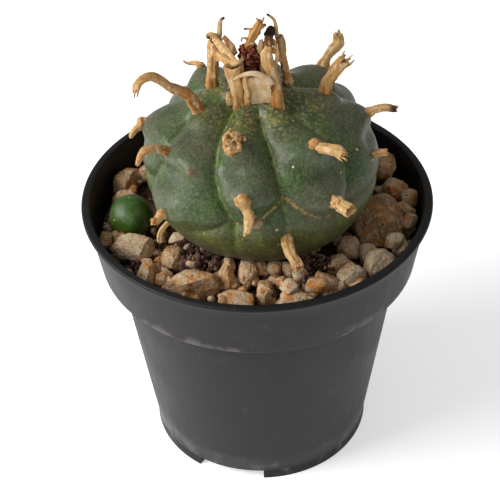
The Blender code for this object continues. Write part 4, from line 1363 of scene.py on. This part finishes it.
def build_flower_heart(settings):
    """The crumbly dark middle: a lumpy core covered in small crumbs."""
    rng = random.Random(12)
    parts = MeshParts()
    strand(parts, ((0.6, 0.6, 106.6), (0.2, 0.4, 110.5), (-0.5, 0.2, 114.8), (-1.2, 0.1, 118.6)),
           (2.0, 2.3, 2.4, 1.5), seed=190, sides=48, rings=48, wrinkle=2.6, ragged=1.2)
    for _ in range(420):
        rise = rng.uniform(0.0, 1.0)
        turn = rng.uniform(0, 2 * math.pi)
        reach = (2.45 + 0.6 * rng.random()) * math.sqrt(max(0.08, 1 - (rise - 0.45) ** 2 * 2.4))
        centre = np.array((0.3 - 1.7 * rise + reach * math.cos(turn), 0.2 + reach * math.sin(turn),
                           110.5 + 8.6 * rise))
        points, faces = crumb(rng.randrange(10000), rng.uniform(0.16, 0.46))
        parts.add(centre * MM + points, faces, along=0.5, burnt=0.0, fibre=0.5, tone=rng.random())
    heart = parts.build("flower_heart")
    finish_piece(heart, finish_for("flower", flower_finish, settings), "dried_flower",
                 "crown_dried_flower")


# ---------------------------------------------------------------- gravel and soil

ICO_CACHE = {}


def unit_ball(level):
    """Points and faces of a subdivided icosahedron."""
    if level not in ICO_CACHE:
        bm = bmesh.new()
        bmesh.ops.create_icosphere(bm, subdivisions=level, radius=1.0)
        points = np.array([v.co[:] for v in bm.verts])
        faces = [tuple(v.index for v in face.verts) for face in bm.faces]
        bm.free()
        ICO_CACHE[level] = (points, faces)
    return ICO_CACHE[level]


def crumb(seed, size):
    """A tiny rough lump, size in mm."""
    points, faces = unit_ball(2)
    rough = 1.0 + 0.45 * layered_noise(points + seed * 0.37, 0.8, seed % 997, 2)
    return points * rough[:, None] * size * MM, faces


def stone_shape(direction, half, seed, corner=3.2, rough=0.10, facets=9):
    """Worn stone: between an egg and a block, with facets, lumps and small pits."""
    power = (np.abs(direction) ** corner).sum(axis=1) ** (-1.0 / corner)
    rng = np.random.default_rng(seed)
    reach = power * (1.0 + 0.5 * rough * layered_noise(direction + seed * 0.7, 1.1, seed + 2, 2))
    for _ in range(facets):
        facet = rng.normal(size=3)
        facet /= np.linalg.norm(facet)
        facing = direction @ facet
        cut = rng.uniform(0.70, 0.95)
        limit = np.where(facing > 0.05, cut / np.maximum(facing, 0.05), 9.0)
        over = np.maximum(reach - limit, 0.0)
        reach = reach - 0.85 * over
    reach *= 1.0 + rough * layered_noise(direction + seed * 1.7, 0.60, seed, 3)
    fine = layered_noise(direction + seed, 0.20, seed + 5, 2)
    reach *= 1.0 + 0.035 * fine
    pits = lattice_noise(direction - seed, 0.12, seed + 9)
    reach *= 1.0 - 0.05 * smooth_step(0.40, 0.8, pits)
    return direction * reach[:, None] * np.asarray(half)


STONE_GROWTH = 1.10         # worn stones reach a little past their faceted solids
BIG_STONE_GROWTH = 1.34

# Stones that stand for solids of the frame: tone from pale (0) to brown (1), and rust
STONE_LOOKS = {
    "stone_back_left_long": (0.45, 0.35), "stone_left_flat": (0.35, 0.25),
    "stone_left_rim": (0.70, 0.20), "stone_left_blocky": (0.15, 0.15),
    "stone_front_left_small": (0.40, 0.55), "stone_front_left_rough": (0.55, 0.25),
    "stone_front_bean": (0.30, 0.75), "stone_front_leaning": (0.40, 0.35),
    "stone_front_tall": (0.30, 0.45), "stone_front_rim": (0.35, 0.65),
    "stone_front_pebble": (0.40, 0.70), "stone_front_right_rim": (0.25, 0.65),
    "stone_right_small": (0.30, 0.50), "stone_right_oval": (0.20, 0.40),
    "stone_right_pale": (0.15, 0.30), "stone_right_holed": (0.30, 0.45),
    "stone_right_wedge": (0.12, 0.20), "stone_right_pitted": (0.08, 0.10),
    "stone_right_big": (0.92, 0.40), "stone_right_cream": (0.10, 0.10),
    "stone_right_slate": (0.65, 0.30), "stone_right_rust": (0.45, 0.90),
    "stone_back_right_tan": (0.45, 0.55), "stone_back_left_round": (0.30, 0.40),
    "stone_back_bean": (0.35, 0.50), "stone_back_pale": (0.15, 0.30),
}

# Small stones with a place of their own: centre x, y, z, length, width, height (mm), turn,
# tone and rust
PEBBLES = (
    (-20.6, -11.4, 70.2, 4.2, 3.0, 3.0, 10, 0.15, 0.1),
    (-7.2, -22.6, 70.4, 2.8, 4.2, 4.6, 0, 0.25, 0.4),
    (0.2, -23.4, 69.4, 3.8, 4.2, 4.0, 20, 0.35, 0.75),
    (3.8, -23.2, 69.2, 3.8, 3.8, 3.8, -10, 0.30, 0.5),
    (7.2, -23.0, 69.0, 3.2, 4.0, 4.0, 0, 0.20, 0.3),
    (9.8, -26.0, 69.0, 4.2, 3.6, 3.6, 10, 0.15, 0.3),
    (5.6, -27.8, 68.6, 3.2, 3.0, 3.0, 0, 0.25, 0.8),
    (3.2, -26.8, 68.6, 2.6, 2.2, 2.2, 0, 0.10, 0.2),
    (7.2, -31.0, 69.6, 5.2, 4.4, 4.4, 45, 0.15, 0.8),
    (13.6, -30.0, 69.2, 5.8, 4.0, 3.8, 10, 0.30, 0.7),
    (38.6, -7.4, 70.4, 4.8, 3.8, 3.6, 60, 0.35, 0.85),
    (39.4, 1.8, 71.4, 4.4, 4.8, 4.8, 15, 0.35, 0.8),
    (34.0, 13.2, 71.6, 4.6, 4.4, 5.2, 0, 0.55, 0.3),
    (-29.6, 19.0, 68.6, 4.8, 4.6, 4.8, 0, 0.35, 0.3),
    (34.2, -15.6, 71.2, 4.6, 3.6, 3.8, 30, 0.10, 0.2),
    (-16.6, -20.8, 69.6, 3.4, 2.6, 2.4, 20, 0.25, 0.3),
)

# Crumbly clods of potting mix at the surface: centre x, y, z and size (mm)
CLODS = (
    (-14.6, -18.6, 69.2, 4.2), (-10.8, -19.6, 69.0, 3.6), (-17.6, -17.2, 69.0, 3.0),
    (-7.6, -20.2, 68.6, 2.6), (11.4, -22.6, 69.4, 2.8), (12.6, -25.4, 68.8, 2.6),
    (12.0, -28.0, 68.6, 2.4), (2.6, -29.8, 67.6, 2.6), (-24.4, -10.4, 68.0, 2.6),
    (16.4, -20.4, 68.0, 2.6), (-31.0, -19.0, 66.4, 3.0),
)

GRAVEL_FLOOR = 64.9     # mm, top of the potting mix where small stones start
GRAVEL_TOP = 69.4
INNER_WALL = 41.0       # mm, radius that small stones stay within


def gravel_limit(height):
    """Radius (mm) the stem takes up at a height, from its own centre."""
    drop = (height - STEM_CENTRE[2] / MM) / (STEM_HALF_HEIGHT / MM)
    return 31.0 * math.sqrt(max(0.0, 1.0 - drop * drop))


def build_stones(settings):
    finish = finish_for("stone", stone_finish, settings)
    points, faces = unit_ball(6)
    for seed, (name, (tone, rust)) in enumerate(STONE_LOOKS.items()):
        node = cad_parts[name]
        placed = np.array([v.co[:] for v in node.data.vertices])
        centre = placed.mean(axis=0)
        spread = placed - centre
        spread_flat = spread[:, :2]
        axes = np.linalg.eigh(spread_flat.T @ spread_flat)[1]
        long_axis = np.array([axes[0, 1], axes[1, 1], 0.0])
        short_axis = np.array([-long_axis[1], long_axis[0], 0.0])
        half = (np.abs(spread @ long_axis).max(), np.abs(spread @ short_axis).max(),
                np.abs(spread[:, 2]).max())
        grow = BIG_STONE_GROWTH if name == "stone_right_big" else STONE_GROWTH
        local = stone_shape(points, np.array(half) * grow, seed + 300)
        world = (centre + np.outer(local[:, 0], long_axis) + np.outer(local[:, 1], short_axis)
                 + np.outer(local[:, 2], (0.0, 0.0, 1.0)))
        stone = mesh_object(name + "_worn", world, faces,
                            {"tone": np.full(len(world), tone), "rust": np.full(len(world), rust)})
        finish_piece(stone, finish, "gravel", name)


def build_small_gravel(settings):
    """Placed pebbles, then strewn small stones that fill the ring between stem and wall."""
    parts = MeshParts()
    points, faces = unit_ball(4)
    for seed, (x, y, z, length, width, height, turn, tone, rust) in enumerate(PEBBLES):
        local = stone_shape(points, np.array((length, width, height)) / 2 * MM, seed + 700)
        spin = np.array(Matrix.Rotation(math.radians(turn), 3, "Z"))
        parts.add(np.array((x, y, z)) * MM + local @ spin.T, faces, tone=tone, rust=rust)
    rng = random.Random(77)
    points, faces = unit_ball(3)
    placed = 0
    while placed < settings.count:
        size = rng.choice((1.3, 1.6, 2.0, 2.4, 2.8))
        height = rng.uniform(GRAVEL_FLOOR, GRAVEL_TOP - size / 2)
        inner = gravel_limit(height) + size * 0.55
        if inner > INNER_WALL - size:
            continue
        radius = math.sqrt(rng.uniform(inner ** 2, (INNER_WALL - size / 2) ** 2))
        turn = rng.uniform(-math.pi, math.pi)
        x = STEM_CENTRE[0] / MM + radius * math.cos(turn)
        y = radius * math.sin(turn)
        if math.hypot(x, y) > INNER_WALL - size / 2:
            continue
        half = np.array([size * rng.uniform(0.42, 0.72) for _ in range(3)]) * MM
        local = stone_shape(points, half, placed + 1000, rough=0.16)
        tilt = np.array(Matrix.Rotation(rng.uniform(0, 6.28), 3, (rng.random(), rng.random(), 1.0)))
        parts.add(np.array((x, y, height)) * MM + local @ tilt.T, faces,
                  tone=rng.choice((0.1, 0.2, 0.3, 0.45, 0.6, 0.8)), rust=rng.random() ** 2)
        placed += 1
    gravel = parts.build("small_gravel")
    finish_piece(gravel, finish_for("stone", stone_finish, settings), "gravel")


def build_soil(settings):
    """The potting mix with a crumbly top, and loose clods among the stones."""
    low, high = (np.array(corner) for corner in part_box("potting_mix"))
    radius = high[0] - 0.1 * MM
    top = high[2]
    rings, columns = 60, 200
    shares = np.linspace(0.0, 1.0, rings)[1:]
    hole = 7.0 * MM
    radii = hole + (radius - hole) * shares
    turn = np.linspace(0, 2 * math.pi, columns, endpoint=False)
    grid_radius, grid_turn = np.meshgrid(radii, turn, indexing="ij")
    flat = np.stack([grid_radius.ravel() * np.cos(grid_turn.ravel()),
                     grid_radius.ravel() * np.sin(grid_turn.ravel()),
                     np.full(grid_radius.size, top)], axis=-1)
    rough = layered_noise(flat, 0.004, 31, 4)
    flat[:, 2] += 0.9 * MM * rough * np.clip((radius - grid_radius.ravel()) / (2 * MM), 0, 1)
    wall_low = 55.0 * MM
    body = 35.4 * MM
    points = [flat]
    for ring_radius, height in ((radius, 59.4 * MM), (body, 59.2 * MM), (body, wall_low),
                                (27.6 * MM, low[2])):
        points.append(np.stack([ring_radius * np.cos(turn), ring_radius * np.sin(turn),
                                np.full(columns, height)], axis=-1))
    points = np.concatenate(points)
    ring_count = rings - 1 + 4
    faces = [tuple(reversed(face)) for face in grid_faces(ring_count, columns)]
    faces.append(tuple(range(columns)))
    last = (ring_count - 1) * columns
    faces.append(tuple(last + i for i in reversed(range(columns))))
    mix = mesh_object("potting_mix_body", points, faces)
    soil = finish_for("soil", soil_finish, settings)
    finish_piece(mix, soil, "potting_mix", "potting_mix")

    clods = MeshParts()
    rng = random.Random(5)
    for x, y, z, size in CLODS:
        for _ in range(46):
            push = np.array([rng.gauss(0, 0.42), rng.gauss(0, 0.42), rng.gauss(0, 0.30)]) * size
            lump, faces = crumb(rng.randrange(10000), size * rng.uniform(0.10, 0.26))
            clods.add((np.array((x, y, z)) + push) * MM + lump, faces)
    finish_piece(clods.build("soil_clods"), soil, "potting_mix")


# ---------------------------------------------------------------- stage

def add_area_light(name, place, aim, size, power, colour):
    light = bpy.data.lights.new(name, "AREA")
    light.shape = "DISK"
    light.size = size
    light.energy = power
    light.color = colour
    obj = bpy.data.objects.new(name, light)
    obj.location = place
    obj.rotation_euler = (Vector(aim) - Vector(place)).to_track_quat("-Z", "Y").to_euler()
    bpy.context.scene.collection.objects.link(obj)


def build_stage(settings):
    low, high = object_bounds()
    bm = bmesh.new()
    bmesh.ops.create_grid(bm, x_segments=2, y_segments=2, size=3.0)
    mesh = bpy.data.meshes.new("studio_floor")
    bm.to_mesh(mesh)
    bm.free()
    floor = bpy.data.objects.new("studio_floor", mesh)
    floor.location.z = low[2] - 0.1 * MM
    bpy.context.scene.collection.objects.link(floor)
    paint = Finish("Studio floor", 0.9, 0.1)
    paint.shader.inputs["Emission Color"].default_value = (1.0, 1.0, 1.0, 1.0)
    paint.shader.inputs["Emission Strength"].default_value = settings.floor_glow
    paint.colour(paint.mix(paint.mottle(0.4, 0.3, 0.7), settings.floor,
                           [channel * 0.99 for channel in settings.floor]))
    floor.data.materials.append(paint.material)
    floor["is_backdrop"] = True

    aim = (0.0, 0.0, high[2] / 2)
    add_area_light("key_light", (-0.80, -0.22, 0.62), aim, 0.7, settings.key_power, (1.0, 0.99, 0.97))
    add_area_light("fill_light", (0.6, -0.7, 0.45), aim, 0.6, settings.fill_power, (0.97, 0.98, 1.0))

    world = bpy.data.worlds.new("White studio")
    world.use_nodes = True
    back = world.node_tree.nodes["Background"]
    back.inputs["Color"].default_value = (1.0, 1.0, 1.0, 1.0)
    back.inputs["Strength"].default_value = settings.ambient
    bpy.context.scene.world = world
    bpy.context.scene.view_settings.view_transform = "Standard"

    lens = bpy.data.cameras.new("camera")
    lens.lens = settings.lens
    lens.sensor_width = 36.0
    lens.clip_start = 0.01
    camera = bpy.data.objects.new("camera", lens)
    look_at = Vector((-2.14 * MM, 0.0, 56.44 * MM))
    back_way = Vector((0.0, -math.cos(settings.elevation), math.sin(settings.elevation)))
    tilt = Matrix.Rotation(math.pi / 2 - settings.elevation, 4, "X")
    spin = Matrix.Rotation(settings.roll, 4, "Z")
    camera.matrix_world = Matrix.Translation(look_at + back_way * settings.distance) @ tilt @ spin
    bpy.context.scene.collection.objects.link(camera)
    bpy.context.scene.camera = camera


# ---------------------------------------------------------------- operators and panel

class CACTUS_OT_add_stage(bpy.types.Operator):
    """Add the floor, the lights and the camera"""
    bl_idname = "cactus.add_stage"
    bl_label = "Studio"

    def execute(self, context):
        build_stage(context.scene.potted_cactus.stage)
        return {"FINISHED"}


class CACTUS_OT_add_pot(bpy.types.Operator):
    """Add the moulded plastic pot"""
    bl_idname = "cactus.add_pot"
    bl_label = "Pot"

    def execute(self, context):
        build_pot(context.scene.potted_cactus.pot)
        return {"FINISHED"}


class CACTUS_OT_add_soil(bpy.types.Operator):
    """Add the potting mix and its clods"""
    bl_idname = "cactus.add_soil"
    bl_label = "Potting mix"

    def execute(self, context):
        build_soil(context.scene.potted_cactus.gravel)
        return {"FINISHED"}


class CACTUS_OT_add_stem(bpy.types.Operator):
    """Add the ribbed stem"""
    bl_idname = "cactus.add_stem"
    bl_label = "Stem"

    def execute(self, context):
        build_stem(context.scene.potted_cactus.stem)
        return {"FINISHED"}


class CACTUS_OT_add_pup(bpy.types.Operator):
    """Add the small green offset"""
    bl_idname = "cactus.add_pup"
    bl_label = "Offset"

    def execute(self, context):
        build_pup(context.scene.potted_cactus.stem)
        return {"FINISHED"}


class CACTUS_OT_add_tufts(bpy.types.Operator):
    """Add the wool tufts on the tubercles"""
    bl_idname = "cactus.add_tufts"
    bl_label = "Tufts"

    def execute(self, context):
        build_tufts(context.scene.potted_cactus.wool)
        return {"FINISHED"}


class CACTUS_OT_add_crown(bpy.types.Operator):
    """Add the dried flower and its papery remains in the crown"""
    bl_idname = "cactus.add_crown"
    bl_label = "Crown remains"

    def execute(self, context):
        build_crown(context.scene.potted_cactus.wool)
        return {"FINISHED"}


class CACTUS_OT_add_stones(bpy.types.Operator):
    """Add the larger gravel stones"""
    bl_idname = "cactus.add_stones"
    bl_label = "Stones"

    def execute(self, context):
        build_stones(context.scene.potted_cactus.gravel)
        return {"FINISHED"}


class CACTUS_OT_add_small_gravel(bpy.types.Operator):
    """Strew the small gravel between the stones"""
    bl_idname = "cactus.add_small_gravel"
    bl_label = "Small gravel"

    def execute(self, context):
        build_small_gravel(context.scene.potted_cactus.gravel)
        return {"FINISHED"}


OPERATORS = (
    CACTUS_OT_add_stage,
    CACTUS_OT_add_pot,
    CACTUS_OT_add_soil,
    CACTUS_OT_add_stem,
    CACTUS_OT_add_pup,
    CACTUS_OT_add_tufts,
    CACTUS_OT_add_crown,
    CACTUS_OT_add_stones,
    CACTUS_OT_add_small_gravel,
)


class CACTUS_PT_pieces(bpy.types.Panel):
    """Lists the pieces in the order they are made"""
    bl_idname = "CACTUS_PT_pieces"
    bl_label = "Potted Round Cactus"
    bl_space_type = "VIEW_3D"
    bl_region_type = "UI"
    bl_category = "Cactus"

    def draw(self, context):
        for operator in OPERATORS:
            self.layout.operator(operator.bl_idname)


CLASSES = (
    PotSettings,
    StemSettings,
    WoolSettings,
    GravelSettings,
    StageSettings,
    PottedCactusSettings,
    *OPERATORS,
    CACTUS_PT_pieces,
)


def register():
    for cls in CLASSES:
        bpy.utils.register_class(cls)
    bpy.types.Scene.potted_cactus = bpy.props.PointerProperty(type=PottedCactusSettings)


def unregister():
    del bpy.types.Scene.potted_cactus
    for cls in reversed(CLASSES):
        bpy.utils.unregister_class(cls)


def main():
    register()
    bpy.ops.cactus.add_stage()
    bpy.ops.cactus.add_pot()
    bpy.ops.cactus.add_soil()
    bpy.ops.cactus.add_stem()
    bpy.ops.cactus.add_pup()
    bpy.ops.cactus.add_tufts()
    bpy.ops.cactus.add_crown()
    bpy.ops.cactus.add_stones()
    bpy.ops.cactus.add_small_gravel()
    bpy.context.view_layer.update()


if __name__ == "__main__":
    main()
